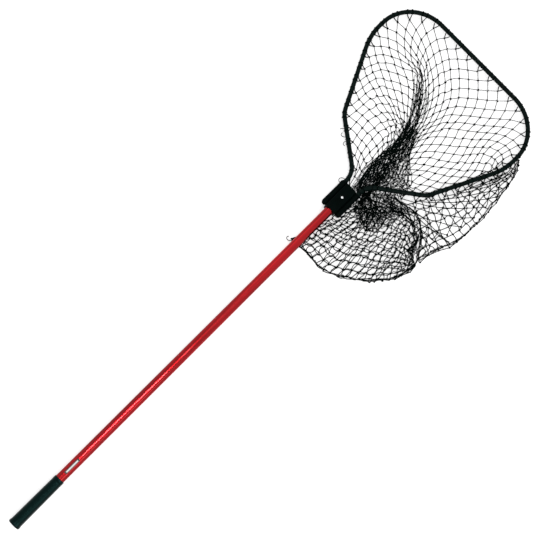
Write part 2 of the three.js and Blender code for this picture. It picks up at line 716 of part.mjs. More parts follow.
// A square twine along points whose bends all lie in plan.
function twineAlong(points, size) {
  const positions = [];
  const index = [];
  points.forEach((point, k) => {
    const before = points[Math.max(k - 1, 0)];
    const after = points[Math.min(k + 1, points.length - 1)];
    const into = new THREE.Vector2(point.x - before.x, point.y - before.y).normalize();
    const out = new THREE.Vector2(after.x - point.x, after.y - point.y).normalize();
    const along = into.clone().add(out).normalize();
    const reach = size / 2 / Math.max(along.dot(k === 0 ? out : into), SHARPEST_MITRE);
    for (const [side, up] of [[-1, -1], [-1, 1], [1, 1], [1, -1]]) {
      positions.push(
        point.x + along.y * side * reach,
        point.y - along.x * side * reach,
        point.z + (up * size) / 2,
      );
    }
  });
  const rings = points.length;
  for (let k = 0; k < rings - 1; k += 1) {
    for (let corner = 0; corner < 4; corner += 1) {
      const a = k * 4 + corner;
      const b = k * 4 + ((corner + 1) % 4);
      index.push(a, b, b + 4, a, b + 4, a + 4);
    }
  }
  const end = (rings - 1) * 4;
  index.push(0, 2, 1, 0, 3, 2, end, end + 1, end + 2, end, end + 2, end + 3);
  const geometry = new THREE.BufferGeometry();
  geometry.setAttribute("position", new THREE.Float32BufferAttribute(positions, 3));
  geometry.setIndex(index);
  geometry.computeVertexNormals();
  return geometry;
}

const head = new THREE.Group();
head.position.z = AXIS_Z;
head.add(mesh("yoke", yoke(), plastic));
head.add(mesh("hoop_tube", hoopTube(), blackTube));
for (const [name, side] of [["hoop_rivet_left", -1], ["hoop_rivet_right", 1]]) {
  const rivet = mesh(name, hoopRivet(), steel);
  rivet.position.set(side * SOCKET_X, RIVET_Y, 0);
  head.add(rivet);
}

const handle = new THREE.Group();
handle.position.z = AXIS_Z;
handle.add(mesh("handle_tube", handleTube(), red));
handle.add(mesh("handle_grip", grip(), rubber));
const nosePlug = mesh("nose_plug", endPlug(), plastic);
nosePlug.position.y = TUBE_FRONT;
handle.add(nosePlug);
const buttPlug = mesh("butt_plug", endPlug(), plastic);
buttPlug.position.y = TUBE_REAR;
buttPlug.rotation.z = Math.PI;
handle.add(buttPlug);
handle.add(mesh("lock_button", lockButton(), steel));
handle.add(mesh("button_spring", buttonSpring(), steel));

const bag = new THREE.Group();
bag.add(mesh("net_mouth_panel", netPanel(mouthOutline(), 0), twine));
bag.add(mesh("net_pouch_floor", netPanel(pouchFloorOutline(), 0), twine));
bag.add(mesh("net_pouch_roof", pouchRoof(), twine));
bag.add(mesh("net_border_twine", borderTwine(), twine));

const landingNet = new THREE.Group();
landingNet.add(head, handle, bag);

export default landingNet;
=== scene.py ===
"""A landing net on a pale floor: handle, grip, yoke, hoop and a knotted bag fallen to one side."""

import math

import bpy
import numpy as np
from mathutils import Matrix, Vector
from numpy.linalg import norm


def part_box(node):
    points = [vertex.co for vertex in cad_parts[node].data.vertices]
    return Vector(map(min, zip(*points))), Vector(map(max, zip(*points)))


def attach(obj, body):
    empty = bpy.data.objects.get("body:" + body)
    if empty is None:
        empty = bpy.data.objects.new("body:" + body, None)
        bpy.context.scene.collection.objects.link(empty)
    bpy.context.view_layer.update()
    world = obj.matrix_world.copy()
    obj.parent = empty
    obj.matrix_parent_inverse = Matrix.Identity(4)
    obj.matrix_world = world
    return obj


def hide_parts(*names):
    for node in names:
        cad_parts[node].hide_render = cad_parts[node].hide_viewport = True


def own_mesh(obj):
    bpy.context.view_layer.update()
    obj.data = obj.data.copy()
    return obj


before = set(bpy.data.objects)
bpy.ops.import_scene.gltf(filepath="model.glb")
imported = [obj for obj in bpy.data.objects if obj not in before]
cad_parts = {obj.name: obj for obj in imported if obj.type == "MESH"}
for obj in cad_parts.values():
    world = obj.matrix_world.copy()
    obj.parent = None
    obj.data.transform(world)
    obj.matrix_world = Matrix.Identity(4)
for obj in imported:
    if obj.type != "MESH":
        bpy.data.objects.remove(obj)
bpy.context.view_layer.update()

# Sizes are in millimetres, in the frame of the CAD model. MM turns them into Blender's metres.
MM = 0.001
UP = np.array([0.0, 0.0, 1.0])


def node_box(name):
    """Lowest and highest corner of a CAD node, in millimetres."""
    low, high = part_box(name)
    return np.array(low) / MM, np.array(high) / MM


YOKE_LOW, YOKE_HIGH = node_box("yoke")
TUBE_LOW, TUBE_HIGH = node_box("handle_tube")
GRIP_LOW, GRIP_HIGH = node_box("handle_grip")
HOOP_LOW, HOOP_HIGH = node_box("hoop_tube")
BUTTON_LOW, BUTTON_HIGH = node_box("lock_button")
SPRING_LOW, SPRING_HIGH = node_box("button_spring")
RIVET_LOW, RIVET_HIGH = node_box("hoop_rivet_right")

# Handle: an octagon with round corners and slightly crowned flats.
TUBE_FLATS = TUBE_HIGH[2] - TUBE_LOW[2]
TUBE_WALL = 1.5
TUBE_CORNER = 3.0
FLAT_CROWN = 60.0
AXIS_Z = (TUBE_HIGH[2] + TUBE_LOW[2]) / 2

# Lock button: a domed stud on a flange inside the handle, and the fit of its holes.
BUTTON_Y = (BUTTON_LOW[1] + BUTTON_HIGH[1]) / 2
BUTTON_SHANK = 3.5
BUTTON_PROUD = 1.6
BUTTON_FLANGE = 1.2
BUTTON_FIT = 0.35

# Hoop: corners of its centre line on the right side, from the socket outwards, and the bend at each.
HOOP_RADIUS = (HOOP_HIGH[2] - HOOP_LOW[2]) / 2
HOOP_HALF_WIDTH = HOOP_HIGH[0] - HOOP_RADIUS
HOOP_REACH = HOOP_HIGH[1] - HOOP_RADIUS
HOOP_END = HOOP_LOW[1]
SOCKET_X = (RIVET_HIGH[0] + RIVET_LOW[0]) / 2
YOKE_REAR, YOKE_FRONT = YOKE_LOW[1], YOKE_HIGH[1]
HOOP_CORNERS = [
    (SOCKET_X, YOKE_FRONT + 36, 58),
    (160, 185, 70),
    (HOOP_HALF_WIDTH, HOOP_REACH - 176, 190),
    (HOOP_HALF_WIDTH, HOOP_REACH, 122),
]

# Yoke: a block round the handle and a round socket on each side.
BLOCK_HALF = 17.5
YOKE_CORNER = 5.0
YOKE_EDGE = 1.5
SLIDE_FIT = 0.3
SOCKET_RADIUS = 9.2
SOCKET_BORE = HOOP_RADIUS + 0.35
SOCKET_FLOOR = HOOP_END - 0.5
COLLAR = 0.8
COLLAR_LENGTH = 7.0

# Net: diamond mesh in a bag of NET_COLUMNS meshes round, each bar a twine between two knots.
NET_COLUMNS = 42
MESH_BAR = 27.0
NET_TWINE = 0.97
LOBE_TWINE = 1.2
GATHER_TWINE = 0.65
RIM_TWINE = 1.4
COIL_TWINE = 0.8
KNOT_TWINE = 1.8
KNOT_RING = 1.8

# Steps and sides of round shapes, and how far a cutter reaches past the piece it cuts.
CURVE_STEPS = 24
BEND_STEP = 4.0
BARREL_SIDES = 64
DRILL_SIDES = 48
STUD_SIDES = 40
RIVET_SIDES = 32
HOOP_STEPS = 300
HOOP_SIDES = 24
OVERCUT = 5.0


# Lines in plan and in space.


def unit(vectors):
    """Vectors of length 1 in the same directions."""
    return vectors / (norm(vectors, axis=-1, keepdims=True) + 1e-12)


def heading(angles):
    """Directions in a plane, from angles."""
    return np.stack([np.cos(angles), np.sin(angles)], axis=-1)


def arc_length(lines):
    """Distance along a line, or along each of several, at each of its points."""
    steps = norm(np.diff(lines, axis=-2), axis=-1)
    return np.concatenate([np.zeros_like(steps[..., :1]), np.cumsum(steps, axis=-1)], axis=-1)


def sample(at, places, points):
    """Points at some places between points whose places are known."""
    return np.stack([np.interp(at, places, column) for column in points.T], axis=-1)


def along(points, shares):
    """Points at the given shares of a line's length."""
    points = np.asarray(points, float)
    length = arc_length(points)
    return sample(np.asarray(shares) * length[-1], length, points)


def lift(plan, z):
    """Points in space from points in plan and one height, or a height for each."""
    return np.column_stack([plan, np.broadcast_to(z, len(plan))])


def curve(points):
    """A curve that passes through each of the points."""
    p = np.asarray(points, float)
    p = np.vstack([2 * p[0] - p[1], p, 2 * p[-1] - p[-2]])
    t = np.linspace(0, 1, CURVE_STEPS, endpoint=False)[:, None]
    runs = []
    for a, b, c, d in zip(p, p[1:], p[2:], p[3:]):
        bend = (2 * a - 5 * b + 4 * c - d) * t**2 + (3 * b - a - 3 * c + d) * t**3
        runs.append(0.5 * (2 * b + (c - a) * t + bend))
    return np.vstack([*runs, p[-2:-1]])


def corner_arc(before, corner, after, radius, steps=None):
    """The arc that rounds a corner, in a count of steps or in steps of BEND_STEP."""
    into, out = unit(corner - before), unit(after - corner)
    turn = math.atan2(into[0] * out[1] - into[1] * out[0], into @ out)
    start = corner - into * radius * math.tan(abs(turn) / 2)
    centre = start + math.copysign(radius, turn) * np.array([-into[1], into[0]])
    first = math.atan2(start[1] - centre[1], start[0] - centre[0])
    steps = steps or max(2, int(abs(turn) * radius / BEND_STEP))
    return centre + radius * heading(first + turn * np.arange(steps + 1) / steps)


def rounded(corners, radius, steps):
    """A closed outline whose corners are arcs."""
    corners = np.array(corners, float)
    around = zip(np.roll(corners, 1, axis=0), corners, np.roll(corners, -1, axis=0))
    return np.vstack([corner_arc(*corner, radius, steps) for corner in around])


def hoop_centre_line(start_y):
    """Plan of the hoop's centre line, from the left socket to the right one."""
    right = np.array([(SOCKET_X, start_y, 0), *HOOP_CORNERS])
    both = np.vstack([right * [-1, 1, 1], right[::-1]])
    points, radii = both[:, :2], both[1:-1, 2]
    bends = zip(points, points[1:], points[2:], radii)
    return np.vstack([points[:1], *[corner_arc(*bend) for bend in bends], points[-1:]])


# Meshes.


def add_object(name, data):
    obj = bpy.data.objects.new(name, data)
    bpy.context.scene.collection.objects.link(obj)
    return obj


def new_object(name, vertices, faces):
    """A mesh object from vertices in millimetres."""
    mesh = bpy.data.meshes.new(name)
    mesh.from_pydata((np.asarray(vertices, float) * MM).tolist(), [], faces)
    mesh.update()
    return add_object(name, mesh)


def finish_piece(obj, material, body, replaces=(), sharp=40):
    """Shading, material and body of a piece. Edges past the sharp angle stay crisp."""
    obj.data.materials.clear()
    obj.data.materials.append(material)
    obj.data.shade_smooth()
    if sharp is not None:
        obj.data.set_sharp_from_angle(angle=math.radians(sharp))
    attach(obj, body)
    if replaces:
        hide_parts(*replaces)


def neighbours(rings, n):
    """Each point's number and the next one's, round some rings of n points."""
    return [(k + s, k + (s + 1) % n) for k in range(0, rings * n, n) for s in range(n)]


def skin(rings):
    """Vertices and faces of a closed piece through rings, each clockwise as seen from the next."""
    n = len(rings[0])
    last = (len(rings) - 1) * n
    faces = [(a, a + n, b + n, b) for a, b in neighbours(len(rings) - 1, n)]
    faces += [tuple(range(n)), tuple(reversed(range(last, last + n)))]
    return np.concatenate(rings), faces


def prism(outline, rear, front):
    """A prism along Y. Its outline in X and Z is anticlockwise as seen from behind."""
    return skin([[(x, y, z) for x, z in outline] for y in (rear, front)])


def bulge(radius, z, wide, high, degrees):
    """Points of a profile on an ellipse: its centre, half width, half height and their angles."""
    angles = np.radians(degrees)
    return list(zip(radius + wide * np.cos(angles), z + high * np.sin(angles)))


def lathe(profile, sides, x=0.0, y=0.0):
    """A piece turned about Z, from (radius, z) pairs that start and end on the axis."""
    rings = [(r, z) for r, z in profile if r > 0]
    angles = 2 * np.pi * np.arange(sides) / sides
    vertices = [(r * math.cos(a), r * math.sin(a), z) for r, z in rings for a in angles]
    vertices += [(0, 0, profile[0][1]), (0, 0, profile[-1][1])]
    low, high, last = len(vertices) - 2, len(vertices) - 1, (len(rings) - 1) * sides
    faces = [(a, b, b + sides, a + sides) for a, b in neighbours(len(rings) - 1, sides)]
    for a, b in neighbours(1, sides):
        faces += [(low, b, a), (high, last + a, last + b)]
    return np.array(vertices) + np.array([x, y, 0]), faces


def barrel(profile, x=0.0):
    """A turned piece along Y, at the height of the handle's axis."""
    vertices, faces = lathe(profile, BARREL_SIDES)
    across, up, ahead = vertices.T
    return np.stack([x - across, ahead, up + AXIS_Z], axis=1), faces


def rod(radius, low, high):
    """Profile of a straight round piece."""
    return [(0, low), (radius, low), (radius, high), (0, high)]


def drill(radius, low, high, x, y):
    """A round cutter along Z."""
    return lathe(rod(radius, low, high), DRILL_SIDES, x, y)


def combine(base, shape, operation="DIFFERENCE"):
    """Cuts a shape out of a base, or joins it to the base."""
    tool = new_object("tool", *shape)
    modifier = base.modifiers.new("combine", "BOOLEAN")
    modifier.object = tool
    modifier.operation = operation
    modifier.solver = "EXACT"
    made = base.evaluated_get(bpy.context.evaluated_depsgraph_get())
    old = base.data
    base.data = bpy.data.meshes.new_from_object(made)
    base.modifiers.clear()
    bpy.data.meshes.remove(old)
    bpy.data.objects.remove(tool)


# Materials.


class Nodes:
    """Short ways to add nodes to a tree."""

    def __init__(self, tree):
        self.tree = tree

    def feed(self, node, socket, value):
        if isinstance(value, bpy.types.NodeSocket):
            self.tree.links.new(value, node.inputs[socket])
        else:
            node.inputs[socket].default_value = value

    def node(self, kind, inputs=(), **settings):
        made = self.tree.nodes.new(kind)
        for name, value in settings.items():
            setattr(made, name, value)
        for socket, value in dict(inputs).items():
            self.feed(made, socket, value)
        return made

    def math(self, operation, *values):
        return self.node("ShaderNodeMath", enumerate(values), operation=operation).outputs[0]

    def looked_at(self):
        """1 for rays from the camera, metal and glass, and 0 for the light that falls on things."""
        path = self.node("ShaderNodeLightPath").outputs
        seen = path["Is Camera Ray"]
        for kind in ("Is Glossy Ray", "Is Transmission Ray"):
            seen = self.math("MAXIMUM", seen, path[kind])
        return seen


class Shader(Nodes):
    """A material with one Principled surface."""

    def __init__(self, name, **settings):
        self.material = bpy.data.materials.new(name)
        self.material.use_nodes = True
        super().__init__(self.material.node_tree)
        self.surface = self.tree.nodes["Principled BSDF"]
        self.dress(**settings)

    def place(self, scale=(1, 1, 1)):
        """Coordinates on the object, in metres, stretched."""
        where = self.node("ShaderNodeTexCoord").outputs["Object"]
        return self.node("ShaderNodeMapping", {"Vector": where, "Scale": scale}).outputs["Vector"]

    def noise(self, scale, detail, stretch=(1, 1, 1)):
        inputs = {"Vector": self.place(stretch), "Scale": scale, "Detail": detail, "Roughness": 0.55}
        return self.node("ShaderNodeTexNoise", inputs).outputs["Fac"]

    def ramp(self, factor, first, second, start=0.3, end=0.7):
        """Greys or colours from a first to a second one, as the factor goes from start to end."""
        made = self.node("ShaderNodeValToRGB", {"Fac": factor})
        stops = zip(made.color_ramp.elements, (start, end), (first, second))
        for element, position, value in stops:
            element.position = position
            element.color = (*value, 1) if isinstance(value, tuple) else (value, value, value, 1)
        return made.outputs["Color"]

    def blend(self, factor, first, second, mode="MIX"):
        inputs = {0: factor, 6: first, 7: second}
        return self.node("ShaderNodeMix", inputs, data_type="RGBA", blend_type=mode).outputs[2]

    def bump(self, height, distance, strength, **normal):
        inputs = {"Height": height, "Distance": distance, "Strength": strength, **normal}
        return self.node("ShaderNodeBump", inputs).outputs["Normal"]

    def dress(self, **sockets):
        """Sets the surface's sockets, named in small letters with underscores."""
        for socket, value in sockets.items():
            name = socket.replace("_", " ").title().replace("Ior", "IOR")
            self.feed(self.surface, name, value)
        return self.material


def anodised_red():
    """Red anodised extrusion: die lines, streaks and blotches in the dye, and a sealed skin."""
    s = Shader("anodised_red", metallic=1.0, coat_weight=0.25, coat_roughness=0.05)
    lines = s.noise(60, 4, (9, 0.05, 9))
    streaks = s.noise(60, 2, (3.2, 0.03, 3.2))
    blotches = s.noise(14, 2)
    colour = s.ramp(streaks, (0.165, 0.0015, 0.003), (0.385, 0.005, 0.0085), 0.36, 0.64)
    cloudy = s.ramp(blotches, (0.88, 0.86, 0.86), 1.0, 0.35, 0.65)
    return s.dress(
        base_color=s.blend(1.0, colour, cloudy, "MULTIPLY"),
        roughness=s.ramp(blotches, 0.115, 0.135),
        normal=s.bump(lines, 0.00002, 0.04),
    )


def grained(name, cloud, grain, colours, roughness, bump, **settings):
    """A material with soft clouds in colour and roughness, and a fine grain."""
    s = Shader(name, **settings)
    soft = s.noise(*cloud)
    return s.dress(
        base_color=s.ramp(soft, *colours),
        roughness=s.ramp(soft, *roughness),
        normal=s.bump(s.noise(*grain), *bump),
    )


STRANDS = 3


def net_twine():
    """Black nylon twine: fuzzed strands laid round it, a little paler on their crowns."""
    s = Shader("net_twine", specular_ior_level=0.02)
    lay = s.node("ShaderNodeUVMap", uv_map="Lay").outputs["UV"]
    # A wave's bands repeat 20 / (2 pi) times a unit, and the map's first axis counts turns of the lay.
    wave = {"Vector": lay, "Scale": STRANDS * 2 * math.pi / 20}
    strands = s.node("ShaderNodeTexWave", wave).outputs["Fac"]
    fuzz = s.noise(2400, 2)
    dust = s.noise(60, 3)
    crown = s.ramp(strands, (0.0004, 0.0016, 0.0013), (0.0018, 0.0052, 0.0044), 0.1, 0.9)
    dusty = s.ramp(dust, 0.6, 1.0, 0.4, 0.75)
    return s.dress(
        base_color=s.blend(1.0, crown, dusty, "MULTIPLY"),
        roughness=s.ramp(fuzz, 0.62, 0.88, 0.2, 0.8),
        normal=s.bump(fuzz, 0.0001, 0.4, Normal=s.bump(strands, 0.0003, 0.7)),
    )


RED = anodised_red()
# Black rubber: a dull bloom over a fine grain.
RUBBER = grained(
    "grip_rubber", cloud=(35, 4), grain=(1800, 3),
    colours=((0.0002, 0.0012, 0.0010), (0.0006, 0.0032, 0.0029)),
    roughness=(0.12, 0.19), bump=(0.00012, 0.06),
    specular_ior_level=0.11, specular_tint=(0.35, 1.0, 0.97, 1),
)
# Black moulded nylon with a spark-eroded grain.
PLASTIC = grained(
    "moulded_plastic", cloud=(45, 3), grain=(2600, 2),
    colours=((0.0004, 0.0016, 0.0013), (0.0009, 0.0030, 0.0025)),
    roughness=(0.34, 0.5), bump=(0.00008, 0.4), specular_ior_level=0.015,
)
# Black baked coating with a faint orange peel.
COATED = grained(
    "coated_tube", cloud=(30, 5), grain=(420, 2),
    colours=((0.0005, 0.0032, 0.0026), (0.0012, 0.0060, 0.0050), 0.35, 0.72),
    roughness=(0.3, 0.44), bump=(0.0003, 0.18), specular_ior_level=0.045,
)
# Plated steel, polished with fine scratches.
STEEL = grained(
    "bright_steel", cloud=(900, 4, (1, 6, 1)), grain=(900, 4, (1, 6, 1)),
    colours=((0.60, 0.61, 0.62), (0.78, 0.79, 0.79)),
    roughness=(0.16, 0.32), bump=(0.00003, 0.3), metallic=1.0,
)
TWINE = net_twine()


# Handle, with its button, spring, label and grip.


def octagon(flats, corner):
    """Octagon round the handle's axis, with a flat on top."""
    reach = flats / 2 / math.cos(math.pi / 8)
    sharp = reach * heading(math.pi / 8 + np.arange(8) * math.pi / 4)
    return rounded(sharp, corner, 6) + np.array([0, AXIS_Z])


def crowned(outline):
    """An octagon with its flats a little bulged: their middles stay and the corners come in."""
    axis = np.array([0, AXIS_Z])
    outline = outline - axis
    parts = []
    for start, end in zip(outline, np.roll(outline, -1, axis=0)):
        count = max(1, round(norm(end - start)))
        parts.append(start + (end - start) * np.arange(count)[:, None] / count)
    points = np.concatenate(parts)
    reach = norm(points, axis=1)
    turn = np.arctan2(points[:, 1], points[:, 0])
    beside = reach * np.sin((turn + math.pi / 8) % (math.pi / 4) - math.pi / 8)
    return axis + points * (1 - beside**2 / (2 * FLAT_CROWN * reach))[:, None]


def make_handle_tube():
    rear, front = TUBE_LOW[1], TUBE_HIGH[1]
    tube = new_object("handle_shell", *prism(crowned(octagon(TUBE_FLATS, TUBE_CORNER)), rear, front))
    inner = octagon(TUBE_FLATS - 2 * TUBE_WALL, TUBE_CORNER - TUBE_WALL)
    combine(tube, prism(inner, rear - OVERCUT, front + OVERCUT))
    combine(tube, drill(BUTTON_SHANK + BUTTON_FIT, AXIS_Z, TUBE_HIGH[2] + OVERCUT, 0, BUTTON_Y))
    finish_piece(tube, RED, "handle", ["handle_tube"])


def make_lock_button():
    flange = (BUTTON_HIGH[1] - BUTTON_LOW[1]) / 2
    low, high = BUTTON_LOW[2], BUTTON_HIGH[2]
    step = low + BUTTON_FLANGE
    profile = [(0, low), (flange, low), (flange, step), (BUTTON_SHANK, step)]
    profile += bulge(0, high - BUTTON_PROUD, BUTTON_SHANK, BUTTON_PROUD, range(0, 81, 10))
    stud = new_object("button_stud", *lathe([*profile, (0, high)], STUD_SIDES, y=BUTTON_Y))
    finish_piece(stud, STEEL, "button", ["lock_button"])


SPRING_THICKNESS = 0.8
SPRING_BEND = 3.0


def make_spring():
    """Leaf spring, bent back on itself in the handle. The button presses it to its foot."""
    half = SPRING_THICKNESS / 2
    seat, foot = SPRING_HIGH[2] - half, SPRING_LOW[2] + half
    front, bend = SPRING_HIGH[1], SPRING_LOW[1] + half + SPRING_BEND
    back = 2 * BUTTON_Y - front
    turn = bulge(bend, AXIS_Z, SPRING_BEND, SPRING_BEND, range(90, 271, 15))
    line = np.array([(front, seat), (back, seat), *turn, (back, foot), (front, foot)])
    ahead = unit(np.gradient(line, axis=0))
    left, right = SPRING_LOW[0], SPRING_HIGH[0]
    corners = ((left, -half), (right, -half), (right, half), (left, half))
    rings = [[(x, y - s * dz, z + s * dy) for x, s in corners] for (y, z), (dy, dz) in zip(line, ahead)]
    leaf = new_object("spring_leaf", *skin(rings))
    finish_piece(leaf, STEEL, "handle", ["button_spring"])
    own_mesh(leaf)


# A plain foil strip on the handle's top flat, in front of the grip. Its edges reach down to the flat.
LABEL_LENGTH = 47.0
LABEL_WIDTH = 8.4
LABEL_CORNER = 1.2
LABEL_FRONT_OF_GRIP = 18.0
LABEL_THICKNESS = 0.12
LABEL_SEAT = 0.2
FIELD_HALF_LENGTH = LABEL_LENGTH / 2 - 4.0
FIELD_HALF_WIDTH = LABEL_WIDTH / 2 - 2.2


def foil_label(centre_y):
    """Black foil with a bare white field inside its border."""
    s = Shader("foil_label", specular_ior_level=0.4)
    place = s.node("ShaderNodeSeparateXYZ", {"Vector": s.place()}).outputs
    lengthwise = s.math("SUBTRACT", place["Y"], centre_y * MM)
    within = [
        s.math("LESS_THAN", s.math("ABSOLUTE", value), half * MM)
        for value, half in ((place["X"], FIELD_HALF_WIDTH), (lengthwise, FIELD_HALF_LENGTH))
    ]
    scuffs = s.noise(700, 3)
    white = s.ramp(scuffs, (0.60, 0.58, 0.57), (0.76, 0.74, 0.73))
    black = s.ramp(scuffs, (0.004, 0.005, 0.005), (0.016, 0.017, 0.017))
    return s.dress(
        base_color=s.blend(s.math("MULTIPLY", *within), black, white),
        roughness=s.ramp(scuffs, 0.3, 0.45),
        normal=s.bump(scuffs, 0.00002, 0.3),
    )


def make_label():
    rear = GRIP_HIGH[1] + LABEL_FRONT_OF_GRIP
    x, front = LABEL_WIDTH / 2, rear + LABEL_LENGTH
    outline = rounded([(-x, rear), (x, rear), (x, front), (-x, front)], LABEL_CORNER, 5)[::-1]
    heights = (TUBE_HIGH[2] - LABEL_SEAT, TUBE_HIGH[2] + LABEL_THICKNESS)
    label = new_object("handle_label", *skin([lift(outline, z) for z in heights]))
    finish_piece(label, foil_label(rear + LABEL_LENGTH / 2), "handle")


GRIP_FIT = 0.3
GRIP_RINGS = 29
GRIP_RING_DEPTH = 0.4
RING_FULLNESS = 0.6
RING_STEPS = 8
BUTT_LENGTH = 12.0
BUTT_STRAIGHT = 4.0
BUTT_ROUND = 3.0
BUTT_FLARE = 1.0
BUTT_FLOOR = 6.0
LIP_LENGTH = 10.0
LIP_WALL = 0.7
LIP_ROUND = 1.0


def make_grip():
    """Tapered sleeve with round rings, a plain lip in front and a flared butt."""
    rear, front, butt = GRIP_LOW[1], GRIP_HIGH[1], GRIP_HIGH[0]
    tube_reach = (TUBE_FLATS / 2 - TUBE_CORNER) / math.cos(math.pi / 8) + TUBE_CORNER
    rear_radius = butt - BUTT_FLARE
    front_radius = tube_reach + GRIP_FIT + LIP_WALL
    profile = [(0, rear)]
    profile += bulge(butt - BUTT_ROUND, rear + BUTT_ROUND, BUTT_ROUND, BUTT_ROUND, range(-90, 1, 15))
    straight, start, end = rear + BUTT_STRAIGHT, rear + BUTT_LENGTH, front - LIP_LENGTH
    share = np.arange(1, RING_STEPS + 1) / RING_STEPS
    ease = (1 - np.cos(np.pi * share)) / 2
    profile += zip(butt + (rear_radius - butt) * ease, straight + (start - straight) * share)
    share = np.arange(1, GRIP_RINGS * RING_STEPS + 1) / (GRIP_RINGS * RING_STEPS)
    swell = np.abs(np.sin(np.pi * GRIP_RINGS * share)) ** RING_FULLNESS
    crest = rear_radius + (front_radius - rear_radius) * share
    profile += zip(crest - GRIP_RING_DEPTH * (1 - swell), start + (end - start) * share)
    profile += [(front_radius, end + LIP_ROUND), (front_radius, front - LIP_ROUND)]
    middle = (front_radius - LIP_ROUND, front - LIP_ROUND)
    profile += bulge(*middle, LIP_ROUND, LIP_ROUND, range(18, 91, 18))
    sleeve = new_object("grip_sleeve", *barrel([*profile, (0, front)]))
    bore = octagon(TUBE_FLATS + 2 * GRIP_FIT, TUBE_CORNER)
    combine(sleeve, prism(bore, rear + BUTT_FLOOR, front + OVERCUT))
    finish_piece(sleeve, RUBBER, "handle", ["handle_grip"], sharp=50)


# Yoke, with the rivets that hold the hoop in its sockets.
RIVET_Y = (RIVET_LOW[1] + RIVET_HIGH[1]) / 2
RIVET_HEAD = 4.0
RIVET_SHANK = 2.0
RIVET_HOLE = 2.3
RIVET_SEAT = 0.1
RIVET_BULB = 2.8
BULB_HEIGHT = 1.6
BULB_NECK = 0.8
PAD_RADIUS = 4.3
PAD_DEPTH = 0.4
DISH_RADIUS = 7.5
DISH_FLOOR = BUTTON_SHANK + 0.7
DISH_DEPTH = 1.0


def make_yoke():
    top, past = YOKE_HIGH[2], YOKE_FRONT + OVERCUT
    body = new_object("yoke_body", *yoke_block())
    for x in (-SOCKET_X, SOCKET_X):
        combine(body, barrel(socket_profile(), x), "UNION")
    bore = octagon(TUBE_FLATS + 2 * SLIDE_FIT, TUBE_CORNER)
    combine(body, prism(bore, YOKE_REAR - OVERCUT, past))
    for x in (-SOCKET_X, SOCKET_X):
        combine(body, barrel(rod(SOCKET_BORE, SOCKET_FLOOR, past), x))
        combine(body, drill(RIVET_HOLE, -OVERCUT, AXIS_Z, x, RIVET_Y))
        combine(body, drill(PAD_RADIUS, -OVERCUT, AXIS_Z - SOCKET_RADIUS + PAD_DEPTH, x, RIVET_Y))
    combine(body, drill(BUTTON_SHANK + BUTTON_FIT, AXIS_Z, top + OVERCUT, 0, BUTTON_Y))
    low, high = top - DISH_DEPTH, top + DISH_DEPTH
    dish = [(0, low), (DISH_FLOOR, low), (DISH_RADIUS, high), (0, high)]
    combine(body, lathe(dish, BARREL_SIDES, y=BUTTON_Y))
    finish_piece(body, PLASTIC, "head", ["yoke"], sharp=32)


def yoke_block():
    """A block along Y with round long edges and softened ends."""
    angles = np.linspace(0, np.pi / 2, 4)
    edge = list(zip(YOKE_EDGE * (1 - np.cos(angles)), YOKE_EDGE * (1 - np.sin(angles))))
    ends = [(YOKE_REAR + depth, inset) for depth, inset in edge]
    ends += [(YOKE_FRONT - depth, inset) for depth, inset in reversed(edge)]
    rings = []
    for y, inset in ends:
        x, low, high = BLOCK_HALF - inset, YOKE_LOW[2] + inset, YOKE_HIGH[2] - inset
        corners = [(-x, low), (x, low), (x, high), (-x, high)]
        rings.append([(x, y, z) for x, z in rounded(corners, YOKE_CORNER - inset, 8)])
    return skin(rings)


def socket_profile():
    """Round rear end, straight barrel and a thicker mouth."""
    inner, outer, front = SOCKET_RADIUS, SOCKET_RADIUS + COLLAR, YOKE_FRONT
    mouth = front - COLLAR_LENGTH
    profile = [(0, YOKE_REAR)] + bulge(0, YOKE_REAR + inner, inner, inner, range(-81, 1, 9))
    profile += [(inner, mouth - 2 * COLLAR), (inner + COLLAR * 0.5, mouth - COLLAR)]
    profile += [(outer, mouth), (outer, front - COLLAR)]
    return profile + [(inner + COLLAR * 0.7, front - COLLAR * 0.3), (inner, front), (0, front)]


def make_rivets():
    head, seat, tip = RIVET_LOW[2], AXIS_Z - SOCKET_RADIUS + RIVET_SEAT, RIVET_HIGH[2]
    bulb = tip - BULB_HEIGHT
    profile = [(0, head)] + bulge(0, seat, RIVET_HEAD, seat - head, np.arange(-78.75, 1, 11.25))
    profile += [(RIVET_SHANK, seat), (RIVET_SHANK, bulb - BULB_NECK)]
    profile += bulge(0, bulb, RIVET_BULB, BULB_HEIGHT, range(0, 81, 10))
    for name, x in (("left", -SOCKET_X), ("right", SOCKET_X)):
        shape = lathe([*profile, (0, tip)], RIVET_SIDES, x, RIVET_Y)
        rivet = new_object(f"rivet_{name}", *shape)
        finish_piece(rivet, STEEL, "head", [f"hoop_rivet_{name}"])


# Tubes along lines, for the hoop and the twine.


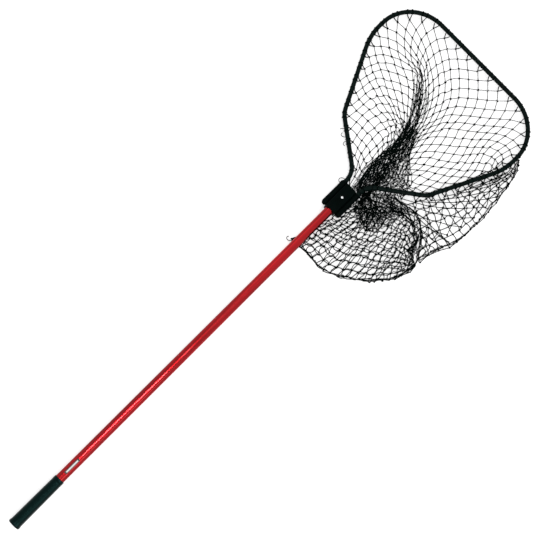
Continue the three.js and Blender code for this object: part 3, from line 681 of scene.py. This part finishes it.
def tubes(lines, normals, radius, sides):
    """Round tubes along lines: vertices, faces, and each face corner's place along and round them."""
    lines = np.asarray(lines, float)
    count, steps = lines.shape[:2]
    tangents = unit(np.gradient(lines, axis=1))
    normals = unit(normals - tangents * np.sum(normals * tangents, axis=2, keepdims=True))
    across = np.cross(tangents, normals)
    angles = (2 * np.pi * np.arange(sides) / sides)[:, None]
    ring = normals[:, :, None] * np.cos(angles) + across[:, :, None] * np.sin(angles)
    vertices = (lines[:, :, None] + radius * ring).reshape(-1, 3)
    index = np.arange(len(vertices)).reshape(count, steps, sides)
    after = np.roll(index, -1, axis=2)
    quads = np.stack([index[:, :-1], after[:, :-1], after[:, 1:], index[:, 1:]], axis=-1)
    faces = quads.reshape(-1, 4).tolist() + index[:, 0, ::-1].tolist() + index[:, -1].tolist()
    shares = np.arange(sides + 1) / sides
    place = np.stack(np.broadcast_arrays(arc_length(lines)[:, :, None], shares), axis=-1)
    corners = [place[:, :-1, :-1], place[:, :-1, 1:], place[:, 1:, 1:], place[:, 1:, :-1]]
    caps = np.zeros((2 * count * sides, 2))
    return vertices, faces, np.concatenate([np.stack(corners, axis=3).reshape(-1, 2), caps])


def make_hoop():
    line = along(hoop_centre_line(HOOP_END), np.linspace(0, 1, HOOP_STEPS))
    vertices, faces, _ = tubes(lift(line, AXIS_Z)[None], UP, HOOP_RADIUS, HOOP_SIDES)
    hoop = new_object("hoop_bend", vertices, faces)
    finish_piece(hoop, COATED, "head", ["hoop_tube"], sharp=60)


LAY_PITCH = 6.0


def make_twine(name, lines, radius, replaces=(), sides=5, normals=UP):
    """Twines along lines, with a map of turns of the lay and places round the twine."""
    vertices, faces, place = tubes(lines, normals, radius, sides)
    twine = new_object(name, vertices, faces)
    finish_piece(twine, TWINE, "head", replaces, sharp=None)
    turns = place[:, 0] / LAY_PITCH + place[:, 1]
    lay = np.stack([turns, place[:, 1]], axis=1).astype(np.float32)
    twine.data.uv_layers.new(name="Lay").data.foreach_set("uv", lay.ravel())


# Net. Its lower wall hangs from most of the rim and lies inside the hoop. It is drawn into a fold down
# to the yoke, and passes under the hoop there, into a dense band. Past the band the bag lies in two
# lobes: a pouch behind the hoop and a wing beside it. The wing's upper wall hangs from the hoop's right
# side. All these lines are plans.
RIM = hoop_centre_line(YOKE_FRONT)
RIM_LENGTH = arc_length(RIM)[-1]
COLUMNS = np.arange(NET_COLUMNS)
# Places along the rim where some of the columns are tied. The others lie evenly between them.
TIED_COLUMNS = [0, 4, 13, 21, NET_COLUMNS - 1]
TIED_AT = [10, 161, 504, 857, RIM_LENGTH - 16]
ATTACH_SHARES = np.interp(COLUMNS, TIED_COLUMNS, TIED_AT) / RIM_LENGTH
ATTACH = along(RIM, ATTACH_SHARES)
# From this column on the net is the upper wall, which hangs on the outside of the hoop.
UPPER_COLUMN = 31
UPPER_COLUMNS = NET_COLUMNS - UPPER_COLUMN
RIM_SIDE = np.where(COLUMNS >= UPPER_COLUMN, -1, 1)[:, None]
# The first knots hang close to the hoop, each on a V of twine, and further in at the left far bend.
RIM_DROP = 4.5
RIM_INSET = 6.2
RIM_HANG = np.interp(COLUMNS, [8, 11, 16, 19], [15, 20, 20, 16])[:, None]
RIM_V = 7.0
RIM_STEP = 0.002


def rim_frames():
    """Direction along the hoop and direction in to its mouth at each attachment."""
    ahead, behind = along(RIM, ATTACH_SHARES + RIM_STEP), along(RIM, ATTACH_SHARES - RIM_STEP)
    tangent = unit(ahead - behind)
    return tangent, np.stack([tangent[:, 1], -tangent[:, 0]], axis=1)


RIM_ALONG, RIM_INWARD = rim_frames()
FIRST_KNOTS = ATTACH + RIM_INWARD * RIM_SIDE * RIM_HANG

# Lower wall: where every fourth row of knots lies, at some of its columns.
ROWS_APART = 4
PLAN_COLUMNS = [0, 4, 8, 12, 16, 20, 24, 27, 30]
PLAN_ROWS = [
    [(2, 98), (-78, 224), (-150, 323), (-160, 424), (-120, 478), (-17, 497)]
    + [(115, 474), (180, 440), (236, 392)],
    [(16, 126), (-24, 256), (-60, 312), (-75, 410), (-62, 425), (2, 402)]
    + [(72, 386), (150, 357), (212, 315)],
    [(28, 124), (12, 212), (-4, 272), (-22, 325), (-16, 345), (10, 308)]
    + [(52, 292), (115, 272), (170, 235)],
    [(34, 110), (34, 165), (18, 204), (-4, 240), (4, 262), (24, 235), (50, 215), (84, 196), (124, 172)],
    [(38, 94), (38, 130), (24, 155), (-4, 185), (0, 200), (22, 185), (50, 175), (80, 165), (108, 150)],
    [(40, 76), (42, 96), (28, 110), (-2, 125), (-4, 140), (14, 130), (44, 130), (72, 130), (98, 128)],
    [(42, 52), (44, 58), (34, 62), (16, 64), (8, 70), (22, 80), (50, 92), (80, 102), (106, 112)],
    [(40, 28), (50, 28), (60, 30), (70, 34), (78, 44), (84, 56), (96, 72), (112, 88), (130, 104)],
    [(44, 12), (58, 10), (76, 8), (94, 2), (110, 4), (119, 30), (128, 64), (146, 92), (166, 116)],
]
NET_ROWS = ROWS_APART * len(PLAN_ROWS)

# Lobes: their outer edges, the lines that their meshes start from, and the ridge between them.
WING_EDGE = curve(
    [(265, 45), (276, 82), (291, 120), (303, 152), (310, 185), (311, 233), (312, 268), (309, 305)]
    + [(307, 345), (304, 385), (297, 422), (286, 450), (276, 462)]
)
WING_START = curve([(140, 130), (152, 165), (178, 215), (205, 285), (232, 345), (252, 400), (262, 440)])
WING_HEM = curve([(150, 128), (200, 135), (250, 135), (292, 139)])
TAIL_START = curve([(196, 126), (218, 104), (238, 80), (250, 60), (256, 42)])
TAIL_EDGE = curve([(294, 138), (286, 108), (277, 84), (272, 62), (270, 40)])
POUCH_EDGE = curve(
    [(-12, -170), (14, -168), (46, -166), (80, -169), (116, -162), (156, -137), (188, -116)]
    + [(212, -96), (230, -74), (248, -53), (262, -25), (270, 0), (271, 22)]
)
POUCH_START = curve(
    [(38, 12), (54, 26), (80, 50), (112, 85), (148, 108), (180, 110), (204, 96), (220, 74), (228, 48)]
)
ARCH = curve(
    [(100, 118), (150, 124), (182, 124), (207, 111), (232, 84), (252, 58), (265, 38), (270, 8)]
)
INNER_ARCH = curve([(140, 104), (181, 106), (206, 93), (229, 69), (246, 42), (257, 12)])

# Lines down the fold: both sides of its narrow upper part, then the left side, middle and right side
# of the wide part that runs into the yoke. Last come lines across the band, away from the yoke.
CREASE_LEFT = curve([(-92, 424), (-50, 376), (-22, 320), (-9, 250), (-6, 200)])
CREASE_RIGHT = curve([(-34, 408), (-6, 365), (16, 310), (32, 255), (40, 205)])
FOLD_LEFT = curve([(-16, 300), (-7, 250), (-6, 180), (-6, 110), (2, 56)])
FOLD_MIDDLE = curve([(6, 300), (28, 250), (48, 195), (58, 145), (40, 98), (22, 62)])
FOLD_RIGHT = curve([(18, 310), (48, 250), (82, 205), (112, 164), (66, 116), (34, 78)])
BAND_START = curve([(40, 72), (62, 97), (90, 114), (120, 124), (150, 125)])
BAND_MIDDLE = curve([(40, 36), (66, 34), (92, 30), (108, 44), (126, 84)])
BAND_END = curve([(40, 14), (70, 10), (100, -8), (124, 6), (140, 60)])


def through(points, places):
    """Points of the smooth curve through some points, at places counted in those points."""
    line = curve(points)
    return sample(np.asarray(places) * CURVE_STEPS, np.arange(len(line)), line)


def stagger(rows):
    """Moves the odd rows of knots half a mesh along, as a net's rows lie."""
    after = np.concatenate([rows[:, 1:], 2 * rows[:, -1:] - rows[:, -2:-1]], axis=1)
    rows[1::2] = 0.5 * (rows[1::2] + after[1::2])
    return rows


def lower_wall():
    """Places of the lower wall's knots in plan, before the twine pulls on them."""
    places = np.interp(np.arange(UPPER_COLUMN), PLAN_COLUMNS, np.arange(len(PLAN_COLUMNS)))
    kept = np.stack([FIRST_KNOTS[:UPPER_COLUMN], *[through(row, places) for row in PLAN_ROWS]])
    rows = np.arange(NET_ROWS + 1) / ROWS_APART
    return stagger(np.stack([through(kept[:, c], rows) for c in range(UPPER_COLUMN)], axis=1))


UPPER_ROWS = 7
# The upper wall's columns end on the wing's edge, and past this share of them on the arch.
WING_SHARE = 0.85


def upper_wall():
    """Places of the upper wall's knots, from the hoop's right side outwards."""
    columns = []
    for start, k in zip(FIRST_KNOTS[UPPER_COLUMN:], np.linspace(0, 1, UPPER_COLUMNS)):
        edge = along(WING_EDGE, np.interp(k, [0, 0.45, WING_SHARE], [0.98, 0.55, 0.05]))
        if k > WING_SHARE:
            edge = along(ARCH, np.interp(k, [WING_SHARE, 1], [0.75, 0.1]))
        route = curve([start, start * 0.5 + edge * 0.5 + np.array([6 * k, 4]), edge])
        columns.append(along(route, np.linspace(0, 1, UPPER_ROWS + 1)))
    return stagger(np.stack(columns, axis=1))


def mesh_bars(rows, columns):
    """Pairs of knots that a bar joins, in staggered rows."""
    return np.array([
        (row * columns + column, (row + 1) * columns + other)
        for row in range(rows)
        for column in range(columns)
        for other in (column, column + (1 if row % 2 else -1))
        if 0 <= other < columns
    ])


def drift(random, shape, passes):
    """Random numbers that change slowly from knot to knot."""
    n = random.normal(size=shape)
    for _ in range(passes):
        n = (n + np.roll(n, 1, 1) + np.roll(n, -1, 1)) / 3
        n = (n + np.vstack([n[:1], n[:-1]]) + np.vstack([n[1:], n[-1:]])) / 3
    return n / n.std(axis=(0, 1), keepdims=True)


# How far knots stray from their places, how firmly they are held there, and how the bars pull on them.
WANDER = 3.0
SCATTER = 1.8
LOOSE_ROWS = 4
HOLD = 0.03
PULL = 1.6
LEAST_BAR = 0.3
SHORT_PUSH = 0.1
RELAX_PASSES = 300


def relax(goal, pairs, random):
    """Pulls knots until no bar is longer than its twine, with the first row held fast."""
    loose = np.clip(np.arange(len(goal)) / LOOSE_ROWS, 0, 1)[:, None, None]
    stray = WANDER * drift(random, goal.shape, 3) + SCATTER * random.normal(size=goal.shape)
    aim = (goal + loose * stray).reshape(-1, 2)
    tied = goal.shape[1]
    place = aim.copy()
    first, second = pairs.T
    joined = np.bincount(pairs.ravel(), minlength=len(place)).clip(1)[:, None]
    for _ in range(RELAX_PASSES):
        place += (aim - place) * HOLD
        gap = place[second] - place[first]
        length = norm(gap, axis=1, keepdims=True) + 1e-9
        short = np.minimum(length - LEAST_BAR * MESH_BAR, 0)
        excess = np.maximum(length - MESH_BAR, 0) + SHORT_PUSH * short
        move = gap / length * excess * 0.5
        push = np.zeros_like(place)
        np.add.at(push, first, move)
        np.add.at(push, second, -move)
        place += push / joined * PULL
        place[:tied] = aim[:tied]
    return place


PATCH_WANDER = 3.0
PATCH_SCATTER = 0.4 * PATCH_WANDER


def patch(inner, outer, columns, rows, random, lean=0.0):
    """Mesh between two lines in plan: its knots and bars. Its middle leans over by some columns."""
    w = (np.arange(rows + 1) / rows)[:, None]
    share = np.arange(columns + 1)[None] / columns
    u = share + lean / columns * (w - 0.5) * 4 * share * (1 - share)
    plan = along(inner, u) * (1 - w[..., None]) + along(outer, u) * w[..., None]
    plan = plan + PATCH_WANDER * drift(random, plan.shape, 2)
    plan = plan + PATCH_SCATTER * random.normal(size=plan.shape)
    index = np.arange(plan[..., 0].size).reshape(rows + 1, columns + 1)
    beside = np.stack([index[:, :-1], index[:, 1:]], axis=-1).reshape(-1, 2)
    across = np.stack([index[:-1], index[1:]], axis=-1).reshape(-1, 2)
    return plan.reshape(-1, 2), np.concatenate([beside, across])


def strand(line, step, random, stray):
    """One row of bars along a line in plan: its knots and bars."""
    count = max(2, int(arc_length(line)[-1] / step))
    plan = along(line, np.linspace(0, 1, count + 1)) + stray * random.normal(size=(count + 1, 2))
    return plan, np.column_stack([np.arange(count), np.arange(1, count + 1)])


# Heights of the net: the lower wall lies on the floor, and the upper wall stands up over the lobes. It
# climbs from the bag's edges, from under the hoop and from beside the handle's path.
FLOOR_CLEAR = 0.1
LYING = 1.8
ROOF_HEIGHT = 27.0
ROOF_SLOPE = 0.42
EDGE_HEIGHT = 2.0
UNDER_HOOP = 9.0
HOOP_SLOPE = 0.5
BESIDE_HANDLE = 3.0
HANDLE_CORRIDOR = 17.0
HANGING_ROWS = 1.6


def nearest(points, line):
    """Distance in plan from each point to the nearest of every third point of a line."""
    flat = points[..., :2].reshape(-1, 1, 2)
    gaps = norm(flat - np.asarray(line)[None, ::3], axis=2)
    return gaps.min(axis=1).reshape(points.shape[:-1])


def roof_height(plan):
    edge = np.minimum(nearest(plan, WING_EDGE), nearest(plan, POUCH_EDGE))
    from_edge = EDGE_HEIGHT + ROOF_SLOPE * edge
    from_hoop = UNDER_HOOP + HOOP_SLOPE * np.maximum(nearest(plan, RIM) - UNDER_HOOP, 0)
    from_handle = BESIDE_HANDLE + ROOF_SLOPE * np.maximum(plan[..., 0] - HANDLE_CORRIDOR, 0)
    return np.minimum(np.minimum.reduce([from_edge, from_hoop, from_handle]), ROOF_HEIGHT)


def hang(height, columns):
    """Heights of a wall's knots, whose first rows hang from the rim."""
    row = np.arange(len(height)) // columns
    hung = np.exp(-row / HANGING_ROWS)
    return height * (1 - hung) + (AXIS_Z - 2 * RIM_DROP) * hung


# Room between the twine and the yoke, its sockets, the handle and the hoop. Twine in the front part of
# the yoke is moved forwards, and the rest sideways.
YOKE_GAP = 0.4
YOKE_FRONT_PART = 14
SOCKET_MARGIN = (2, 1)
HANDLE_GAP = 0.3
HOOP_GAP = 0.2
HOOP_MARGIN = 0.6


def keep_clear(points, radius):
    """Moves points of twine out of the floor, the yoke, the handle's path and the hoop."""
    x, y, z = (points[..., k].copy() for k in range(3))
    beside = BLOCK_HALF + radius + YOKE_GAP
    ahead = YOKE_FRONT + radius + YOKE_GAP
    in_block = (np.abs(x) < beside) & (np.abs(y) < ahead)
    to_front = in_block & (y > YOKE_FRONT - YOKE_FRONT_PART)
    y = np.where(to_front, ahead, y)
    x = np.where(in_block & ~to_front, beside, x)
    socket_side = SOCKET_X + SOCKET_RADIUS + COLLAR + SOCKET_MARGIN[0]
    under_socket = (np.abs(x) < socket_side) & (np.abs(y) < ahead + SOCKET_MARGIN[1])
    under_handle = np.abs(x) < HANDLE_CORRIDOR
    near_hoop = nearest(np.stack([x, y], axis=-1), RIM) < HOOP_RADIUS + radius + HOOP_MARGIN
    for under, limit in (
        (under_socket, AXIS_Z - SOCKET_RADIUS - COLLAR - radius),
        (under_handle, TUBE_LOW[2] - radius - HANDLE_GAP),
        (near_hoop, AXIS_Z - HOOP_RADIUS - radius - HOOP_GAP),
    ):
        z = np.where(under, np.minimum(z, limit), z)
    return np.stack([x, y, np.maximum(z, radius + FLOOR_CLEAR)], axis=-1)


# Bars: how much of their slack shows as a bow, the most they bow, and the share that taut ones show.
SLACK_SHOWN = 0.35
MOST_BOW = 4.0
TAUT_BOW = 0.35
MOST_TILT = 0.4
BAR_PLACES = np.linspace(0, 1, 6)[:, None]
BAR_ARCH = 4 * BAR_PLACES * (1 - BAR_PLACES)


def bar_lines(knots, pairs, random, bar=MESH_BAR, taut=False):
    """Curves of the bars, which bow where they are slack."""
    start, end = knots[pairs[:, 0]], knots[pairs[:, 1]]
    gap = end - start
    length = norm(gap, axis=1) + 1e-9
    slack = np.maximum(bar - length, 0) * SLACK_SHOWN
    bow = np.minimum(np.sqrt(3 * length * slack / 8), MOST_BOW)
    bow *= random.choice([-1.0, 1.0], len(bow)) * random.uniform(0.2, 1.0, len(bow))
    bow = np.where(taut, TAUT_BOW * bow, bow)
    tilt = random.uniform(0, MOST_TILT, len(bow))
    side = unit(np.stack([-gap[:, 1], gap[:, 0], length * tilt], axis=1)) * bow[:, None]
    return start[:, None] + gap[:, None] * BAR_PLACES + BAR_ARCH * side[:, None]


KNOT_STEPS = 8
KNOT_SIDES = 5
KNOT_WIND = 0.45
KNOT_ROOM = 11.0
SMALLEST_KNOT = 0.5


def crowding(places):
    """1 for a knot that stands alone, and less for knots drawn tight together."""
    gaps = norm(places[:, None, :2] - places[None, :, :2], axis=2)
    near = np.partition(gaps, 3, axis=1)[:, 3]
    return np.clip(near / KNOT_ROOM, SMALLEST_KNOT, 1)


def make_knots(places, random):
    """Small rings of twine, one tied round each crossing at its own tilt."""
    angles = np.linspace(0, 2 * np.pi, KNOT_STEPS + 1)[:, None]
    axis = unit(random.normal(size=(len(places), 3)) * np.array([1, 1, 0.5]))
    u = unit(np.cross(axis, np.where(np.abs(axis[:, 2:]) < 0.8, UP, [1.0, 0, 0])))
    v = np.cross(axis, u)
    ring = u[:, None] * np.cos(angles) + v[:, None] * np.sin(angles)
    wind = axis[:, None] * np.linspace(-KNOT_WIND, KNOT_WIND, KNOT_STEPS + 1)[:, None]
    size = (crowding(places) * random.uniform(0.9, 1.1, len(places)))[:, None, None]
    rings = places[:, None] + size * (KNOT_RING * ring + wind)
    thick = size[..., 0] * KNOT_TWINE
    in_path = np.abs(rings[..., 0]) < HANDLE_CORRIDOR
    high = np.where(in_path, TUBE_LOW[2] - thick - HANDLE_GAP, np.inf)
    rings[..., 2] = np.clip(rings[..., 2], thick + FLOOR_CLEAR, high)
    make_twine("net_knots", rings, size[..., None] * KNOT_TWINE, (), KNOT_SIDES, ring)


COIL_TURNS = 1.4
COIL_STEPS = 18
COIL_PITCH = 2.15 * COIL_TWINE


def rim_coils(shift, random):
    """Turns of twine round the hoop beside each attachment, and their directions out from it."""
    angles = np.linspace(0, 2 * np.pi * COIL_TURNS, COIL_STEPS)
    turn = (random.uniform(0, 2 * np.pi, NET_COLUMNS)[:, None] + angles)[..., None]
    run = (angles / (2 * np.pi) - COIL_TURNS / 2) * COIL_PITCH + shift
    out = lift(RIM_INWARD, 0)[:, None] * np.cos(turn) + UP * np.sin(turn)
    middle = lift(ATTACH, AXIS_Z)[:, None] + lift(RIM_ALONG, 0)[:, None] * run[:, None]
    return middle + (HOOP_RADIUS + COIL_TWINE) * out, out


def make_rim(tied, random):
    """Border twine: a V from each knot of the first row, wound round the hoop at both ends."""
    parts = []
    for shift in (-RIM_V, RIM_V):
        top = ATTACH + RIM_ALONG * shift + RIM_INWARD * RIM_SIDE * RIM_INSET
        start = lift(top, AXIS_Z - RIM_DROP)[:, None]
        legs = start * (1 - BAR_PLACES) + tied[:, None] * BAR_PLACES - UP * BAR_ARCH
        parts.append((legs, *rim_coils(shift, random)))
    legs, coils, outs = (np.concatenate(part) for part in zip(*parts))
    make_twine("rim_legs", legs, RIM_TWINE, ["net_border_twine"], 6)
    make_twine("rim_coils", coils, COIL_TWINE, (), 6, outs)


# Further layers of the gathered net in the fold and the band: their sides, and bars along and across.
GATHERS = [
    (CREASE_LEFT, CREASE_RIGHT, 9, 5),
    (FOLD_LEFT, FOLD_MIDDLE, 9, 9), (FOLD_LEFT, FOLD_MIDDLE, 10, 8), (FOLD_LEFT, FOLD_RIGHT, 10, 12),
    (BAND_START, BAND_MIDDLE, 13, 6), (BAND_START, BAND_END, 15, 8),
]
# One more layer at the fold's right side, which draws its random numbers from a seed of its own.
FOLD_CORNER = (FOLD_MIDDLE, FOLD_RIGHT, 11, 4)
FOLD_CORNER_SEED = 12
GATHER_HEIGHT = 3.0
# The net is ruffled most in the middle of the fold, and its first rows are taut.
FOLD_CENTRE = np.array([45, 150])
FOLD_SPREAD = np.array([70, 90])
FOLD_RUFFLE = 2.2
TAUT_ROWS = 3


def gathered(start, end, columns, rows, random):
    """Bars of one gathered layer between two lines in plan."""
    plan, pairs = patch(start, end, columns, rows, random)
    height = LYING + GATHER_HEIGHT * np.abs(random.normal(size=len(plan)))
    return bar_lines(lift(plan, height), pairs, random)


def make_lower_wall(random):
    """The wall in the hoop's mouth. Returns its knots."""
    goal = lower_wall()
    pairs = mesh_bars(NET_ROWS, UPPER_COLUMN)
    plan = relax(goal, pairs, random)
    ruffle = np.abs(drift(random, (*goal.shape[:2], 1), 1)).ravel()
    in_fold = np.exp(-np.sum(((plan - FOLD_CENTRE) / FOLD_SPREAD) ** 2, axis=1))
    lying = LYING + (1.0 + FOLD_RUFFLE * in_fold) * ruffle
    knots = keep_clear(lift(plan, hang(lying, UPPER_COLUMN)), NET_TWINE)
    lines = [bar_lines(knots, pairs, random, taut=pairs[:, 0] < TAUT_ROWS * UPPER_COLUMN)]
    lines += [gathered(*layer, random) for layer in GATHERS]
    lines.append(gathered(*FOLD_CORNER, np.random.default_rng(FOLD_CORNER_SEED)))
    twines = [NET_TWINE] + [GATHER_TWINE] * len(GATHERS) + [NET_TWINE]
    radii = np.repeat(twines, [len(bars) for bars in lines])[:, None, None, None]
    lines = keep_clear(np.concatenate(lines), NET_TWINE)
    make_twine("net_mouth", lines, radii, ["net_mouth_panel"])
    return knots


# Rows of bars along the lobes' edges and the ridge between them: line, bar and how far knots stray.
EDGE_STRANDS = [
    (WING_EDGE, 15, 2.4), (WING_EDGE, 27, 3.0), (WING_HEM, 22, 1.5),
    (POUCH_EDGE, 22, 1.5), (POUCH_EDGE, 26, 3.0),
    (ARCH, 16, 1.5), (ARCH, 18, 2.0), (ARCH, 22, 3.0), (INNER_ARCH, 20, 2.0),
]
STRAND_HEIGHT = 12
STRAND_RUFFLE = 2
LOBE_LYING = 1.6


def make_lobes(random):
    """The walls of both lobes and their edges. Returns the knots."""
    knots, floor, roof = [], [], []

    def lay(wall, mesh, height, bar=MESH_BAR):
        plan, pairs = mesh
        tied = keep_clear(lift(plan, height(plan)), LOBE_TWINE)
        wall.append(bar_lines(tied, pairs, random, bar))
        knots.append(tied)

    def lying(plan):
        return LOBE_LYING + np.abs(random.normal(size=len(plan)))

    def at_edge(plan):
        ruffle = random.uniform(0, STRAND_RUFFLE, len(plan))
        return np.minimum(roof_height(plan), STRAND_HEIGHT) + ruffle

    def hung(plan):
        return hang(roof_height(plan) + random.normal(size=len(plan)), UPPER_COLUMNS)

    bars = mesh_bars(UPPER_ROWS, UPPER_COLUMNS)
    lay(roof, (relax(upper_wall(), bars, random), bars), hung)
    lay(floor, patch(WING_START, WING_EDGE, 16, 6, random, 1.0), lying)
    lay(floor, patch(TAIL_START, TAIL_EDGE, 4, 3, random), lying)
    lay(floor, patch(POUCH_START, POUCH_EDGE, 17, 10, random, -2.5), lying)
    lay(roof, patch(POUCH_START, POUCH_EDGE, 19, 11, random, 2.5), roof_height)
    for line, bar, stray in EDGE_STRANDS:
        lay(roof, strand(line, bar, random, stray), at_edge, bar)
    for name, wall in (("floor", floor), ("roof", roof)):
        lines = keep_clear(np.concatenate(wall), LOBE_TWINE)
        make_twine(f"net_{name}", lines, LOBE_TWINE, [f"net_pouch_{name}"])
    return knots


# Snagged ends of twine: place, heading in degrees, length, and how far it curls.
LOOSE_ENDS = [
    ((-12, -170, 2.6), 232, 29, -230),
    ((-30, 54, 12), 200, 27, 210),
    ((-99, 135, 13), 235, 22, 200),
    ((-109, 142, 12), 225, 24, -190),
    ((-125, 156, 13), 200, 16, 70),
    ((4, 56, 2.6), 20, 20, 330),
]
LOOSE_STEPS = 16
LOOSE_WAVE = 0.8


def make_loose_ends():
    lines = []
    t = np.linspace(0, 1, LOOSE_STEPS + 1)
    for (x, y, z), degrees, length, curl in LOOSE_ENDS:
        step = length / LOOSE_STEPS * heading(np.radians(degrees + curl * t**2))
        plan = np.array([x, y]) + np.vstack([[0, 0], np.cumsum(step[:-1], axis=0)])
        lines.append(lift(plan, z + LOOSE_WAVE * np.sin(6 * t)))
    make_twine("net_loose_ends", keep_clear(np.array(lines), NET_TWINE), NET_TWINE, (), 6)


NET_SEED = 11


def make_net():
    random = np.random.default_rng(NET_SEED)
    mouth = make_lower_wall(random)
    lobes = make_lobes(random)
    make_rim(np.concatenate([mouth[:UPPER_COLUMN], lobes[0][:UPPER_COLUMNS]]), random)
    make_knots(np.concatenate([mouth, *lobes]), random)
    make_loose_ends()


# Stage: pale floor, white surroundings, soft lamps and the camera.
WHITE = (1, 1, 1, 1)
FLOOR_SIZE = 14
FLOOR_GLOW = 0.42
WORLD_LIGHT = 0.7


def make_floor():
    bpy.ops.mesh.primitive_plane_add(size=FLOOR_SIZE)
    floor = bpy.context.object
    floor.name = "floor"
    s = Shader("floor", base_color=(0.88, 0.88, 0.88, 1), roughness=0.9, specular_ior_level=0.0)
    s.dress(emission_color=WHITE, emission_strength=s.math("MULTIPLY", s.looked_at(), FLOOR_GLOW))
    floor.data.materials.append(s.material)


def make_world():
    world = bpy.context.scene.world = bpy.data.worlds.new("studio")
    world.use_nodes = True
    nodes = Nodes(world.node_tree)
    inputs = {"Value": nodes.looked_at(), "To Min": WORLD_LIGHT, "To Max": 1.0}
    level = nodes.node("ShaderNodeMapRange", inputs).outputs["Result"]
    background = nodes.tree.nodes["Background"]
    nodes.feed(background, "Color", WHITE)
    nodes.feed(background, "Strength", level)


# Name, place, width and length in metres, and watts.
LAMPS = [
    ("key", (1.7, -0.9, 1.75), 1.1, 1.7, 18),
    ("overhead", (-0.05, -0.67, 3.0), 0.1, 0.65, 8),
    ("overhead_fade", (-0.05, -0.2, 3.0), 0.08, 0.29, 0.5),
    ("overhead_tail", (-0.05, 0.12, 3.0), 0.06, 0.35, 0.2),
    ("grip_strip", (1.0, -1.3, 3.0), 0.5, 0.9, 6),
    ("panel", (0.0, -0.1, 3.2), 0.8, 2.6, 2.2),
    ("fill", (-1.6, 0.9, 2.4), 1.8, 1.8, 11),
]
LAMP_TARGET = Vector((0.0, -0.2, 0.0))


def make_lamps():
    for name, place, width, length, watts in LAMPS:
        lamp = bpy.data.lights.new(name, "AREA")
        lamp.shape = "RECTANGLE"
        lamp.size, lamp.size_y, lamp.energy = width, length, watts
        obj = add_object(name, lamp)
        obj.location = place
        obj.rotation_euler = (LAMP_TARGET - Vector(place)).to_track_quat("-Z", "Y").to_euler()


# The camera looks almost straight down, tilted towards the grip, with the handle on the diagonal.
CAMERA_TARGET = Vector((0.0012, -0.275, 0.018))
CAMERA_DISTANCE = 2.625
CAMERA_TILT = math.radians(14)
CAMERA_ROLL = math.radians(45.09)
CAMERA_LENS = 66.7
CAMERA_SENSOR = 36


def make_camera():
    camera = bpy.data.cameras.new("camera")
    camera.lens = CAMERA_LENS
    camera.sensor_width = CAMERA_SENSOR
    obj = add_object("camera", camera)
    turn = Matrix.Rotation(CAMERA_TILT, 4, "X") @ Matrix.Rotation(CAMERA_ROLL, 4, "Z")
    away = Matrix.Translation((0, 0, CAMERA_DISTANCE))
    obj.matrix_world = Matrix.Translation(CAMERA_TARGET) @ turn @ away
    bpy.context.scene.camera = obj


def dress_cad_nodes():
    """A material for the CAD pieces that stay as they are."""
    for name in ("nose_plug", "butt_plug"):
        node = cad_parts[name]
        node.data.materials.clear()
        node.data.materials.append(PLASTIC)


bpy.context.scene.view_settings.view_transform = "Standard"
make_camera()
make_handle_tube()
make_lock_button()
make_spring()
make_label()
make_grip()
make_yoke()
make_rivets()
make_hoop()
make_net()
dress_cad_nodes()
make_floor()
make_world()
make_lamps()
